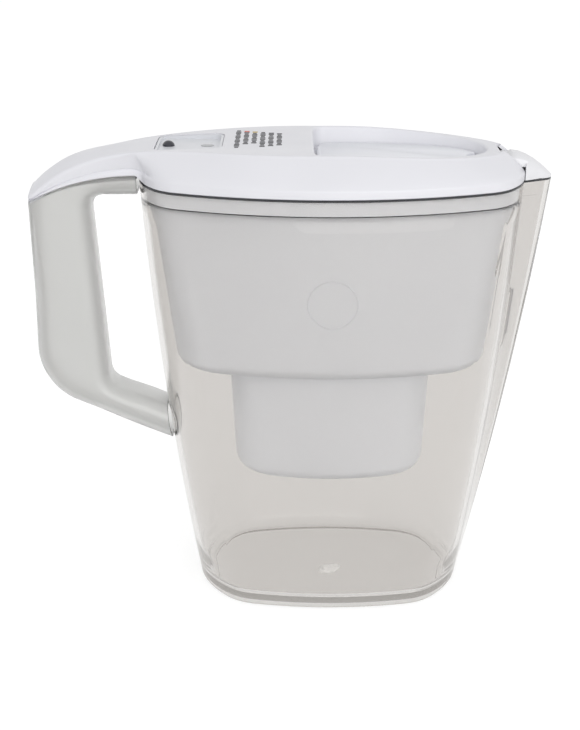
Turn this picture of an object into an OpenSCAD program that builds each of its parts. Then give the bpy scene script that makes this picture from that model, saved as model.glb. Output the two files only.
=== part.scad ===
// Water filter pitcher with a flip lid.
// Origin: centre of the foot, on the table. +X points to the spout, +Z is up, millimetres.

/* [Jug] */
// Height of the jug rim above the table
jug_height = 227.6; // [200:0.2:250]
// Half length of the jug at the rim, without the spout
rim_half_length = 99.7; // [92:0.1:108]
// Half width of the jug at the rim
rim_half_width = 54.8; // [50:0.1:60]
// Half length of the jug just above the foot
base_half_length = 72.6; // [66:0.1:80]
// Half width of the jug just above the foot
base_half_width = 50.5; // [47:0.5:54]
// Outward bow of the ends at mid height
length_bow = 3.3; // [0:0.1:6]
// Outward bow of the long sides at mid height
width_bow = 1.8; // [0:0.1:4]
// Thickness of the jug wall
jug_wall = 2.8; // [2.2:0.1:3.5]
// Thickness of the jug wall above the ledge
rim_wall = 1.4; // [1:0.1:1.8]
// Depth of the ledge below the rim
ledge_drop = 8.4; // [6:0.1:12]
// Rounding between the wall and the foot
foot_round = 3.8; // [3:0.1:7]
// Thickness of the jug floor
floor_thickness = 3.2; // [2.5:0.1:5]
// Depth of the hollow under the floor, inside the foot ring
foot_hollow = 1.6; // [0.5:0.1:2.4]

/* [Spout] */
// How far the spout stands out from the rim
spout_reach = 14.2; // [10:0.1:18]
// How far the spout stands out just above the foot
spout_reach_base = 1.5; // [1:0.1:4]
// Half width of the spout where it leaves the jug
spout_half_width = 12; // [10:0.1:14]
// Radius of the spout nose
spout_nose_radius = 7; // [5:0.1:8.5]

/* [Handle] */
// How far the grip stands out from the rim
handle_reach = 56; // [50:0.1:64]
// Width of the grip at its top, seen from the side
grip_width_top = 30.2; // [26:0.1:34]
// Width of the grip at its bottom, seen from the side
grip_width_bottom = 37; // [32:0.1:40]
// Half depth of the handle, front to back
handle_half_depth = 15; // [12:0.1:17]
// Wall of the hollow handle
handle_wall = 2.2; // [1.6:0.1:2.6]
// Height of the underside of the upper arm
upper_arm_height = 220.6; // [218:0.1:222]
// Height of the top of the lower arm at the jug
lower_arm_height = 103.6; // [92:0.1:116]
// Thickness of the lower arm at the jug, up and down
lower_arm_depth = 19.8; // [17:0.1:24]
// Rise of the lower arm from the jug to the grip
lower_arm_rise = 11.8; // [8:0.1:16]
// Rounding of the finger hole
hole_radius = 9.5; // [7:0.5:12]

/* [Hopper] */
// Height of the underside of the hopper floor
hopper_floor_height = 130.6; // [122:0.1:140]
// Thickness of the hopper wall
hopper_wall = 2; // [1.5:0.1:2.5]
// Half length of the hopper at its floor
hopper_half_length = 83; // [76:0.5:84]
// Half width of the hopper at its floor
hopper_half_width = 46.5; // [43:0.5:48]
// How far the hopper stays inside the jug outline, under the flange
hopper_gap = 6; // [5.5:0.1:7.5]
// Half length of the cartridge well at its mouth
well_half_length = 54; // [50:0.5:58]
// Half width of the cartridge well at its mouth
well_half_width = 37.5; // [34:0.5:40]
// Depth of the cartridge well below the hopper floor
well_depth = 62; // [50:0.5:70]
// Taper of the well on each side
well_taper = 3.2; // [1:0.1:5]

/* [Lid] */
// Rise of the flat top of the lid above the jug rim
lid_rise = 18.8; // [16:0.1:22]
// Rise of the shoulder of the lid above the jug rim
shoulder_rise = 5; // [3:0.1:7]
// Half width of the flat top at its widest
top_half_width = 39.5; // [36:0.1:42]
// Fall of the flat top along the tail, over the handle
tail_drop = 27.7; // [24:0.1:30]
// Fall of the flat top towards the spout
nose_drop = 3.9; // [2:0.1:5]
// Thickness of the lid
lid_wall = 2.3; // [1.8:0.1:2.6]
// Depth of the locating skirt under the lid edge
lid_skirt = 4.2; // [3:0.1:6]
// Length of the recess for the fill flap, from its widest place to the spout end
recess_front = 69.5; // [64:0.1:71]
// Length of the recess from its widest place back to the step
recess_rear = 19.5; // [16:0.1:22]
// Half width of the recess
recess_half_width = 37.3; // [33:0.1:38]
// Depth of the flap surface below the flat top
recess_depth = 8.4; // [6:0.1:9]

/* [Flaps] */
// Thickness of the fill flap
flap_thickness = 2.4; // [1.8:0.1:2.6]
// Gap around the fill flap
flap_gap = 0.6; // [0.4:0.1:1]
// Radius of the hinge pins
pin_radius = 1.1; // [0.9:0.1:1.3]
// Running clearance of the hinge pins
pin_clearance = 0.08; // [0.04:0.01:0.1]
// Half width of the hinge neck of the spout flap
neck_half_width = 9.6; // [8:0.1:10]
// Wall of the spout flap
spout_flap_wall = 1.6; // [1.2:0.1:2]

/* [Indicator] */
// Length of the indicator case
case_length = 34; // [32:0.5:38]
// Width of the indicator case
case_width = 38; // [34:0.5:40]
// Place of the indicator along the lid
case_place = -73; // [-76:0.5:-70]
// Radius of the indicator button
button_radius = 3.1; // [2.5:0.1:3.4]
// Travel of the indicator button
button_travel = 0.8; // [0.4:0.1:1]
// Radius of the coin cell
cell_radius = 6.2; // [5:0.1:6.3]
// Thickness of the coin cell
cell_thickness = 2.5; // [1.6:0.1:3.2]

/* [Cartridge] */
// Wall of the cartridge
cartridge_wall = 1.6; // [1.2:0.1:2]
// Gap between the cartridge and its well
cartridge_gap = 0.6; // [0.4:0.1:1]
// Height of the cartridge cap above the hopper floor
cap_rise = 13; // [9:0.5:16]
// Radius of the pull knob on the cap
knob_radius = 7; // [5:0.5:9]
// Height of the pull knob
knob_height = 9; // [6:0.5:12]

/* [Hidden] */
$fn = 48;

// Seats and running gaps
seat_gap = 0.3;
part_gap = 0.35;
cut = 1;

// Radii of the plan outline: long side, end and corner
side_radius = 207;
end_radius = 52;
corner_radius = 27;
plan_radii = [side_radius, end_radius, corner_radius];
end_steps = 4;
corner_steps = 5;
side_steps = 4;
nose_steps = 4;

function mix(a, b, t) = a + (b - a) * t;
function tail_of(list) = [for (i = [1:len(list) - 1]) list[i]];
function body_of(list) = [for (i = [1:len(list) - 2]) list[i]];
function reversed(list) = [for (i = [len(list) - 1:-1:0]) list[i]];
function mirror_x(list) = [for (p = list) [-p[0], p[1]]];
function mirror_y(list) = [for (p = list) [p[0], -p[1]]];
function shift_x(list, dx) = [for (p = list) [p[0] + dx, p[1]]];
function at_height(list, z) = [for (p = list) [p[0], p[1], z]];
function arc(c, r, a0, a1, n) =
    [for (i = [0:n]) c + r * [cos(mix(a0, a1, i / n)), sin(mix(a0, a1, i / n))]];

// Centre of the corner arc, which touches the end arc and the side arc from inside
function corner_centre(a, b, rs, re, rc) =
    let (p0 = [a - re, 0], p1 = [0, b - rs], r0 = re - rc, r1 = rs - rc, d = norm(p1 - p0),
         q = (r0 * r0 - r1 * r1 + d * d) / (2 * d), e = (p1 - p0) / d)
    p0 + q * e + sqrt(max(0, r0 * r0 - q * q)) * [-e[1], e[0]];

// One quarter of a plan outline, from the end (or from half width y0 on the end arc) to the side
function quarter(a, b, rs, re, rc, y0 = 0) =
    let (c = corner_centre(a, b, rs, re, rc),
         turn_end = atan2(c[1], c[0] - (a - re)),
         turn_side = atan2(c[1] - (b - rs), c[0]))
    concat(arc([a - re, 0], re, asin(y0 / re), turn_end, end_steps),
           tail_of(arc(c, rc, turn_end, turn_side, corner_steps)),
           tail_of(arc([0, b - rs], rs, turn_side, 90, side_steps)));

function close_outline(half) = concat(half, reversed(mirror_y(body_of(half))));

// Plan outline of the jug family, drawn in by an offset
function oval(a, b, inset = 0, radii = plan_radii) =
    let (q = quarter(a - inset, b - inset, radii[0] - inset, radii[1] - inset, radii[2] - inset))
    close_outline(concat(q, tail_of(reversed(mirror_x(q)))));

// Outline of the jug with its spout. Inset draws walls in square to the surface, shrink moves them in.
function jug_outline(a, b, tip, inset = 0, spout_inset = 0, shrink = 0) =
    let (ai = a - inset - shrink, bi = b - inset - shrink, rs = side_radius - inset,
         re = end_radius - inset, rc = corner_radius - inset,
         r = spout_nose_radius - spout_inset,
         near = quarter(ai, bi, rs, re, rc, spout_half_width - spout_inset),
         far = quarter(ai, bi, rs, re, rc),
         c = [tip - shrink - spout_nose_radius, 0],
         v = near[0] - c,
         sweep = atan2(v[1], v[0]) - acos(min(1, r / norm(v))))
    close_outline(concat(arc(c, r, 0, max(3, sweep), nose_steps), near,
                         tail_of(reversed(mirror_x(far)))));

// Faces of a stack of rings with the same number of points
function side_faces(rings, n, closed) =
    [for (i = [0:rings - (closed ? 1 : 2)], j = [0:n - 1], k = [0:1])
        let (i2 = (i + 1) % rings, j2 = (j + 1) % n,
             ll = i * n + j, lr = i * n + j2, ul = i2 * n + j, ur = i2 * n + j2)
        k == 0 ? [ll, ul, ur] : [ll, ur, lr]];

module stack(rings) {
    n = len(rings[0]);
    last = (len(rings) - 1) * n;
    polyhedron(points = [for (r = rings) each r],
               faces = concat([[for (j = [0:n - 1]) j]], side_faces(len(rings), n, false),
                              [[for (j = [n - 1:-1:0]) last + j]]));
}

module hoop(rings) {
    polyhedron(points = [for (r = rings) each r], faces = side_faces(len(rings), len(rings[0]), true));
}

module prism(outline, z0, z1) {
    translate([0, 0, z0]) linear_extrude(height = z1 - z0) polygon(outline);
}

module block(x0, x1, y0, y1, z0, z1) {
    translate([x0, y0, z0]) cube([x1 - x0, y1 - y0, z1 - z0]);
}

// Cylinder along Y
module rod(x, z, r, y0, y1) {
    translate([x, y0, z]) rotate([-90, 0, 0]) cylinder(h = y1 - y0, r = r);
}

// Jug profile: half length, half width and spout tip at a height
function rise_share(z) = (z - foot_round) / (jug_height - foot_round);
function bowed(low, high, bow, t) = mix(low, high, t) + 4 * bow * t * (1 - t);
function half_length_at(z) = bowed(base_half_length, rim_half_length, length_bow, rise_share(z));
function half_width_at(z) = bowed(base_half_width, rim_half_width, width_bow, rise_share(z));
function reach_at(z) = mix(spout_reach_base, spout_reach, pow(max(0, rise_share(z)), 1.1));
function jug_ring(z, inset, spout_inset) =
    at_height(jug_outline(half_length_at(z), half_width_at(z), half_length_at(z) + reach_at(z),
                          inset, spout_inset), z);
function foot_ring(z, inset, shrink) =
    at_height(jug_outline(base_half_length, base_half_width, base_half_length + spout_reach_base,
                          inset, inset, shrink), z);

ledge_height = jug_height - ledge_drop;
ledge_inset = 4.4;
wall_levels = 8;
foot_land = 3;
inner_round = 7;
floor_height = foot_hollow + floor_thickness;
inner_low = floor_height + inner_round;

// Lugs of the jug that plug into the two open ends of the handle
lug_length = 9.5;
lug_gap = 0.6;
upper_lug_low = upper_arm_height + handle_wall + lug_gap;
lower_lug_middle = lower_arm_height - lower_arm_depth / 2 + 2.4;
lower_lug_height = 7;

module jug_lug(low, high, half_depth) {
    middle = (low + high) / 2;
    block(-half_length_at(middle) - lug_length, -half_length_at(middle) + jug_wall / 2,
          -half_depth, half_depth, low, high);
}

module jug_body() {
    lug_half_depth = handle_half_depth - handle_wall - 4;
    color([0.83, 0.84, 0.83, 0.45]) union() {
        stack(concat(
            [foot_ring(foot_hollow, 0, foot_round + foot_land + 0.8)],
            [foot_ring(0, 0, foot_round + foot_land)],
            [for (turn = [90:-22.5:22.5])
                foot_ring(foot_round * (1 - sin(turn)), 0, foot_round * (1 - cos(turn)))],
            [for (i = [0:wall_levels]) jug_ring(mix(foot_round, jug_height, i / wall_levels), 0, 0)],
            [jug_ring(jug_height, rim_wall, jug_wall), jug_ring(ledge_height, rim_wall, jug_wall),
             jug_ring(ledge_height, ledge_inset, jug_wall)],
            [for (i = [0:wall_levels]) jug_ring(mix(ledge_height - 3.5, inner_low + 4, i / wall_levels),
                                                jug_wall, jug_wall)],
            [for (turn = [0:22.5:90]) foot_ring(inner_low - inner_round * sin(turn), jug_wall,
                                                inner_round * (1 - cos(turn)))]));
        jug_lug(upper_lug_low, jug_height - part_gap, lug_half_depth);
        jug_lug(lower_lug_middle - lower_lug_height / 2, lower_lug_middle + lower_lug_height / 2,
                lug_half_depth);
    }
}

// Lower edge of the lid tail, which is also the upper edge of the handle
rim_end = -rim_half_length;
grip_outer = rim_end - handle_reach;
tail_height = jug_height + 3.5;
tail_fall = 12.5;
function tail_low(x) = tail_height - tail_fall * pow(max(0, (rim_end + 2 - x) / handle_reach), 2.2);

// Points of a fillet between two straight runs
function fillet(p0, p1, p2, r, n) =
    let (u = (p0 - p1) / norm(p0 - p1), w = (p2 - p1) / norm(p2 - p1), half = acos(u * w) / 2,
         reach = r / tan(half), c = p1 + (u + w) / norm(u + w) * r / sin(half),
         s = p1 + u * reach - c, e = p1 + w * reach - c,
         a0 = atan2(s[1], s[0]), turn = atan2(e[1], e[0]) - a0,
         sweep = turn > 180 ? turn - 360 : (turn < -180 ? turn + 360 : turn))
    arc(c, r, a0, a0 + sweep, n);
function between(p, q, n) = [for (i = [1:n]) mix(p, q, i / (n + 1))];

// Side view of the handle: the finger hole and the outside, point by point together
grip_low = lower_arm_height + lower_arm_rise;
outer_low = lower_arm_height - lower_arm_depth;
arm_slope = (grip_low - outer_low) / handle_reach * 0.78;
hole_start = [rim_end - part_gap, upper_arm_height];
hole_top = [grip_outer + grip_width_top, upper_arm_height];
hole_low = [grip_outer + grip_width_bottom, grip_low];
hole_end = [-half_length_at(lower_arm_height) - part_gap, lower_arm_height];
outer_corner_low = [grip_outer - 1.4, outer_low + (handle_reach + rim_half_length
                    - half_length_at(outer_low)) * arm_slope];
outer_end = [-half_length_at(outer_low) - part_gap, outer_low];
outer_round = 33;
edge_gap = part_gap;
function under_tail(x) = [x, tail_low(x) - edge_gap];
hole_arc_top = fillet(hole_start, hole_top, hole_low, hole_radius, 5);
hole_arc_low = fillet(hole_top, hole_low, hole_end, hole_radius, 5);
hole_side = concat([hole_start], between(hole_start, hole_arc_top[0], 1), hole_arc_top,
                   between(hole_arc_top[5], hole_arc_low[0], 3), hole_arc_low,
                   between(hole_arc_low[5], hole_end, 1), [hole_end]);
grip_shoulder = [grip_outer, tail_low(grip_outer) - 12];
outer_arc_low = fillet(grip_shoulder, outer_corner_low, outer_end, outer_round, 5);
outer_side = concat([for (x = [0, 0.16, 0.36, 0.56, 0.74, 0.88,
                               0.965]) under_tail(hole_start[0] - x * handle_reach)],
                    [under_tail(grip_outer)], between(under_tail(grip_outer), outer_arc_low[0], 3),
                    outer_arc_low, between(outer_arc_low[5], outer_end, 1), [outer_end]);
covered = 7;
grip_round = 10;

// Rounded section between a hole point and an outer point, drawn in by an inset
function section_corner(w, h, r, a0, mx, my) =
    [for (k = [0:3])
        let (a = a0 + 90 * k / 3) [mx * (w / 2 - r) + r * cos(a), my * (h - r) + r * sin(a)]];
function handle_ring(i, inset) =
    let (p = hole_side[i], q = outer_side[i], d = (q - p) / norm(q - p), w = norm(q - p) - 2 * inset,
         m = (p + q) / 2, h = handle_half_depth - inset,
         r_in = max(0.3, min(grip_round - inset, w - 1.2)),
         r_out = i <= covered ? max(0.3, 1.2 - inset)
             : max(0.3, min(grip_round, 3.5 * (i - covered)) - inset),
         ri = min(r_in, w * 0.48),
         ro = min(r_out, w * 0.48),
         flat = concat(section_corner(w, h, ro, 0, 1, 1), section_corner(w, h, ri, 90, -1, 1),
                       section_corner(w, h, ri, 180, -1, -1), section_corner(w, h, ro, 270, 1, -1)))
    [for (t = flat) [m[0] + d[0] * t[0], t[1], m[1] + d[1] * t[0]]];

module handle_shell() {
    last = len(hole_side) - 1;
    color([0.80, 0.81, 0.80, 0.6])
        hoop(concat([for (i = [0:last]) handle_ring(i, 0)],
                    [for (i = [last:-1:0]) handle_ring(i, handle_wall)]));
}

// Hopper: well, floor, bowl and the flange that sits on the ledge of the jug
well_radii = [110, 45, 22];
well_round = 7;
bowl_round = 7;
well_low = hopper_floor_height - well_depth;
bowl_top = ledge_height - 1;
flange_low = ledge_height + seat_gap;
flange_wall = 1.6;
collar_inset = rim_wall + part_gap;
collar_top = jug_height - seat_gap;
bowl_levels = 5;

function well_ring(z, inset, shrink = 0) =
    let (t = (hopper_floor_height - z) / well_depth * well_taper)
    at_height(oval(well_half_length - t - shrink, well_half_width - t - shrink, inset, well_radii), z);
function rim_ring(z, inset) = at_height(oval(half_length_at(z), half_width_at(z), inset), z);
function bowl_ring(share, inset) =
    let (z = mix(hopper_floor_height + bowl_round, bowl_top, share))
    at_height(oval(mix(hopper_half_length, half_length_at(bowl_top) - hopper_gap, share),
                   mix(hopper_half_width, half_width_at(bowl_top) - hopper_gap, share), inset), z);
function bowl_foot(turn, inset, r) =
    at_height(oval(hopper_half_length - r * (1 - cos(turn)), hopper_half_width - r * (1 - cos(turn)),
                   inset),
              hopper_floor_height + bowl_round - r * sin(turn));

module hopper() {
    inner_foot = bowl_round - hopper_wall;
    slot_pitch = 7;
    slots = 9;
    slot_width = 2.2;
    slot_half_length = 14;
    color([0.88, 0.90, 0.92, 0.7]) difference() {
        stack(concat(
            [well_ring(well_low, 0, well_round)],
            [for (turn = [60:-30:0]) well_ring(well_low + well_round * (1 - sin(turn)), 0,
                                               well_round * (1 - cos(turn)))],
            [well_ring(hopper_floor_height, 0)],
            [for (turn = [90:-22.5:22.5]) bowl_foot(turn, 0, bowl_round)],
            [for (i = [0:bowl_levels]) bowl_ring(i / bowl_levels, 0)],
            [rim_ring(flange_low, hopper_gap), rim_ring(flange_low, collar_inset),
             rim_ring(collar_top, collar_inset), rim_ring(collar_top, collar_inset + flange_wall),
             rim_ring(flange_low + flange_wall, collar_inset + flange_wall),
             rim_ring(flange_low + flange_wall, hopper_gap + hopper_wall)],
            [for (i = [bowl_levels:-1:0]) bowl_ring(i / bowl_levels, hopper_wall)],
            [for (turn = [30:30:90]) bowl_foot(turn, hopper_wall, inner_foot)],
            [at_height(well_ring(hopper_floor_height, hopper_wall), hopper_floor_height + hopper_wall)],
            [for (turn = [0:30:60])
                well_ring(well_low + hopper_wall + inner_foot * (1 - sin(turn)), hopper_wall,
                                              inner_foot * (1 - cos(turn)))],
            [well_ring(well_low + hopper_wall, hopper_wall, inner_foot)]));
        for (i = [0:slots - 1])
            let (x = (i - (slots - 1) / 2) * slot_pitch)
            block(x - slot_width / 2, x + slot_width / 2, -slot_half_length, slot_half_length,
                  well_low - cut, well_low + hopper_wall + cut);
    }
}

// Cartridge: hangs in the well by its flange, on a soft ring
seal_thickness = 1.5;
cartridge_flange = 1.8;
flange_reach = 1.4;
flange_seat = hopper_floor_height + hopper_wall + seal_thickness;
flange_top = flange_seat + cartridge_flange;
cartridge_inset = hopper_wall + cartridge_gap;
cartridge_low = well_low + hopper_wall + 1.4;
cartridge_round = 6;
screen_thickness = 0.8;

function mouth_ring(z, grow) =
    at_height(oval(well_half_length + grow, well_half_width + grow, 0, well_radii), z);

module cartridge_body() {
    grille_pitch = 7;
    color([0.93, 0.94, 0.95]) difference() {
        stack(concat(
            [well_ring(cartridge_low, cartridge_inset, cartridge_round)],
            [for (turn = [60:-30:0])
                well_ring(cartridge_low + cartridge_round * (1 - sin(turn)), cartridge_inset,
                                               cartridge_round * (1 - cos(turn)))],
            [well_ring(hopper_floor_height, cartridge_inset),
             at_height(well_ring(hopper_floor_height, cartridge_inset), flange_seat),
             mouth_ring(flange_seat, flange_reach), mouth_ring(flange_top, flange_reach),
             at_height(well_ring(hopper_floor_height, cartridge_inset + cartridge_wall), flange_top),
             well_ring(hopper_floor_height, cartridge_inset + cartridge_wall)],
            [for (turn = [0:30:60])
                well_ring(cartridge_low + cartridge_wall + (cartridge_round - 1) * (1 - sin(turn)),
                                              cartridge_inset + cartridge_wall,
                                              (cartridge_round - 1) * (1 - cos(turn)))],
            [well_ring(cartridge_low + cartridge_wall, cartridge_inset + cartridge_wall,
                       cartridge_round - 1)]));
        for (i = [-4:4], j = [-1:1])
            translate([i * grille_pitch, j * grille_pitch, cartridge_low - cut])
                cylinder(h = cartridge_wall + 2 * cut, r = 1.3, $fn = 16);
    }
}

module cartridge_seal() {
    color([0.35, 0.36, 0.38]) difference() {
        prism(mouth_line(flange_reach), hopper_floor_height + hopper_wall, flange_seat);
        prism(mouth_line(part_gap - hopper_wall), hopper_floor_height, flange_seat + cut);
    }
}

module lower_screen() {
    z = cartridge_low + cartridge_wall;
    color([0.75, 0.77, 0.80]) prism([for (p = well_ring(z, cartridge_inset + cartridge_wall,
                                                        cartridge_round))
                                     [p[0], p[1]]], z, z + screen_thickness);
}

module upper_screen() {
    z = flange_top - screen_thickness;
    color([0.80, 0.82, 0.84]) prism([for (p = well_ring(hopper_floor_height,
                                                        cartridge_inset + cartridge_wall + seat_gap))
                                     [p[0], p[1]]], z, z + screen_thickness);
}

module filter_media() {
    inset = cartridge_inset + cartridge_wall + seat_gap;
    low = cartridge_low + cartridge_wall + screen_thickness;
    high = flange_top - screen_thickness;
    color([0.18, 0.17, 0.17]) stack([
        at_height(well_ring(low, inset, cartridge_round), low),
        at_height(well_ring(low + cartridge_round, inset), low + cartridge_round),
        at_height(well_ring(hopper_floor_height, inset), hopper_floor_height),
        at_height(well_ring(hopper_floor_height, inset), high)]);
}

function mouth_line(grow) = [for (p = mouth_ring(0, grow)) [p[0], p[1]]];

module cartridge_cap() {
    wall = 1.6;
    step = 4.5;
    crown = flange_top + cap_rise - knob_height / 2;
    slot_pitch = 5.6;
    color([0.90, 0.91, 0.93]) union() {
        difference() {
            union() {
                prism(mouth_line(0), flange_top, crown - step);
                prism(mouth_line(-step), crown - step, crown);
            }
            prism(mouth_line(-wall), flange_top - cut, crown - step - wall);
            prism(mouth_line(-step - wall), flange_top - cut, crown - wall);
            for (side = [-1, 1], i = [0:4])
                let (x = side * (knob_radius + 4.5 + i * slot_pitch))
                block(x - 0.8, x + 0.8, -14, 14, crown - wall - cut, crown + cut);
        }
        translate([0, 0, crown]) cylinder(h = knob_height / 2, r = knob_radius - 2.6);
        translate([0, 0, crown + knob_height / 2 - 2.5]) cylinder(h = 2.5, r = knob_radius);
    }
}

// Lid: a flat top with a ridge around it, and flanks down to the shoulder above the rim
lid_low = jug_height + part_gap;
shoulder = jug_height + shoulder_rise;
top_height = jug_height + lid_rise;
top_centre = 10;
top_front = rim_half_length - top_centre - 9;
tail_half = handle_half_depth + 0.3;
function clipped(t) = max(0, min(1, t));
function smooth(t) = clipped(t) * clipped(t) * (3 - 2 * clipped(t));
function top_at(x) =
    top_height - tail_drop * pow(max(0, (-2 - x) / (-2 - grip_outer)), 5.3)
    - nose_drop * smooth((x - 2) / 92);
function top_half(x) = mix(tail_half, top_half_width, smooth((x + 124) / 106));

// One quarter of a rounded panel, with as many points as a quarter of the rim outline
lobe_points = end_steps + corner_steps + side_steps;
function lobe(a, b, p) =
    [for (i = [0:lobe_points])
        let (t = 90 * i / lobe_points) [a * pow(cos(t), 2 / p), b * pow(sin(t), 2 / p)]];
function panel(front, rear, b, front_power, rear_power) =
    shift_x(close_outline(concat(lobe(front, b, front_power),
                                 tail_of(reversed(mirror_x(lobe(rear, b, rear_power)))))), top_centre);
function rim_line(inset) = oval(rim_half_length, rim_half_width, inset);
function rear_rim_x(y, inset) = rim_end + end_radius - sqrt(pow(end_radius - inset, 2) - y * y);
function ridge_line(inset, end_inset) =
    let (front = shift_x(lobe(top_front, top_half_width, 2.15), top_centre),
         ends = [for (y = [0, 5, 10.5, 15.5]) [rear_rim_x(y, end_inset), y]],
         flank = [for (x = [rim_end + 4.8, -88, -80.5, -72.5, -63, -52, -40, -27, -11])
                     [max(x, rear_rim_x(18, end_inset) + 0.6), top_half(x)]])
    [for (p = close_outline(concat(front, reversed(concat(ends, flank)))))
        [p[0] - inset * (p[0] > top_centre ? (p[0] - top_centre) / top_front : 0),
         p[1] * (1 - inset / top_half_width)]];

// Recess and flap
lip = 1.6;
flap_top = top_height - recess_depth;
flap_ledge = flap_top - flap_thickness - seat_gap;
ledge_thickness = 1.6;
recess_wall = 2;
function recess_top(grow) =
    panel(recess_front + grow, recess_rear + grow, recess_half_width + grow * 0.75, 2.15, 8);
function recess_low(grow) =
    panel(recess_front - 1 + grow, recess_rear - 0.3 + grow, recess_half_width - 1.1 + grow, 2.15, 8);
function flap_outline() = panel(recess_front - 1 - flap_gap, recess_rear - 0.3 - flap_gap,
                                recess_half_width - 1.1 - flap_gap, 2.15, 4.5);
function fill_opening() = panel(recess_front - 11.5, recess_rear - 0.9, recess_half_width - 6, 2.3, 4);

skirt_outset = collar_inset + flange_wall + part_gap;
skirt_wall = 1.5;
flank_shares = [0.1, 0.25, 0.45, 0.65, 0.85, 0.96];
flat_shares = [0.25, 0.5, 0.75];

// Rings of the flank between an outline at one height and the ridge, and of the flat top
function flank_ring(low, high, z_low, drop, t) =
    [for (i = [0:len(low) - 1])
        let (p = mix(low[i], high[i], t))
        [p[0], p[1], mix(z_low, top_at(high[i][0]) - drop, pow(t, 0.88))]];
function flat_ring(p, q, t, drop) =
    [for (i = [0:len(p) - 1]) let (m = mix(p[i], q[i], t)) [m[0], m[1], top_at(m[0]) - drop]];

// Tail of the lid, over the handle
tail_end = grip_outer - 0.3;
tail_arch = 4.6;
function tail_ring(x, inset, low_drop, squash) =
    let (wl = (tail_half - 1.6 * (1 - squash)) - inset,
         wr = max(wl, (top_half(x) - inset) * squash + wl * (1 - squash)),
         low = tail_low(x) - low_drop,
         top = mix(tail_low(x) + 1, top_at(x) - inset, squash),
         arch = squash * (0.3 + tail_arch * smooth((rim_end + 3 - x) / 45)),
         ridge = 0.25 + squash,
         half = [[0, top + arch], [0.5 * wr, top + 0.76 * arch], [wr - 1.6, top + 0.1 * arch],
                 [wr, top - ridge],
                 [mix(wl, wr, 0.7) + 0.2, mix(low, top, 0.5)], [wl, low]])
    concat([for (k = [5:-1:1]) [x, -half[k][0], half[k][1]]], [for (q = half) [x, q[0], q[1]]]);

// Hinge of the fill flap
barrel_radius = 1.5;
flap_hinge_x = top_centre - recess_rear + 3.4;
flap_hinge_z = flap_top - barrel_radius;
barrel_half = 25;
flap_pin_reach = barrel_half + 2.8;

// Hinge of the spout flap
spout_hinge_x = rim_half_length - 10;
spout_hinge_z = jug_height + 8.4;
root_radius = 3.4;
notch_x = spout_hinge_x - root_radius - 0.8;
notch_half = neck_half_width + 0.5;
ear_radius = 2.2;
ear_wall = 2.8;

// Indicator: a tub in the flat top
face_top = top_height - 2.9;
face_thickness = 1.5;
case_low = face_top - 10.6;
case_round = 5;
module bar_at(x, l, w, r, z0, z1) {
    translate([x, 0, z0]) linear_extrude(height = z1 - z0) polygon(
        concat(arc([l / 2 - r, w / 2 - r], r, 0, 90, 6), arc([r - l / 2, w / 2 - r], r, 90, 180, 6),
               arc([r - l / 2, r - w / 2], r, 180, 270, 6), arc([l / 2 - r, r - w / 2], r, 270, 360, 6)));
}

module lid_tail() {
    difference() {
        stack(concat([for (x = [8, 0, -5, -11, -18, -26, -34, -42, -49]) tail_ring(rim_end + x, 0, 0, 1)],
                     [tail_ring(tail_end + 3.4, 0, 0, 0.94), tail_ring(tail_end + 1.2, 0, 0, 0.72),
                      tail_ring(tail_end, 0, 0, 0.25)]));
        stack([for (x = [2.6, -4, -11, -18, -26, -34, -42, -49, -53]) tail_ring(rim_end + x, 2, cut, 1)]);
    }
}

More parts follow.
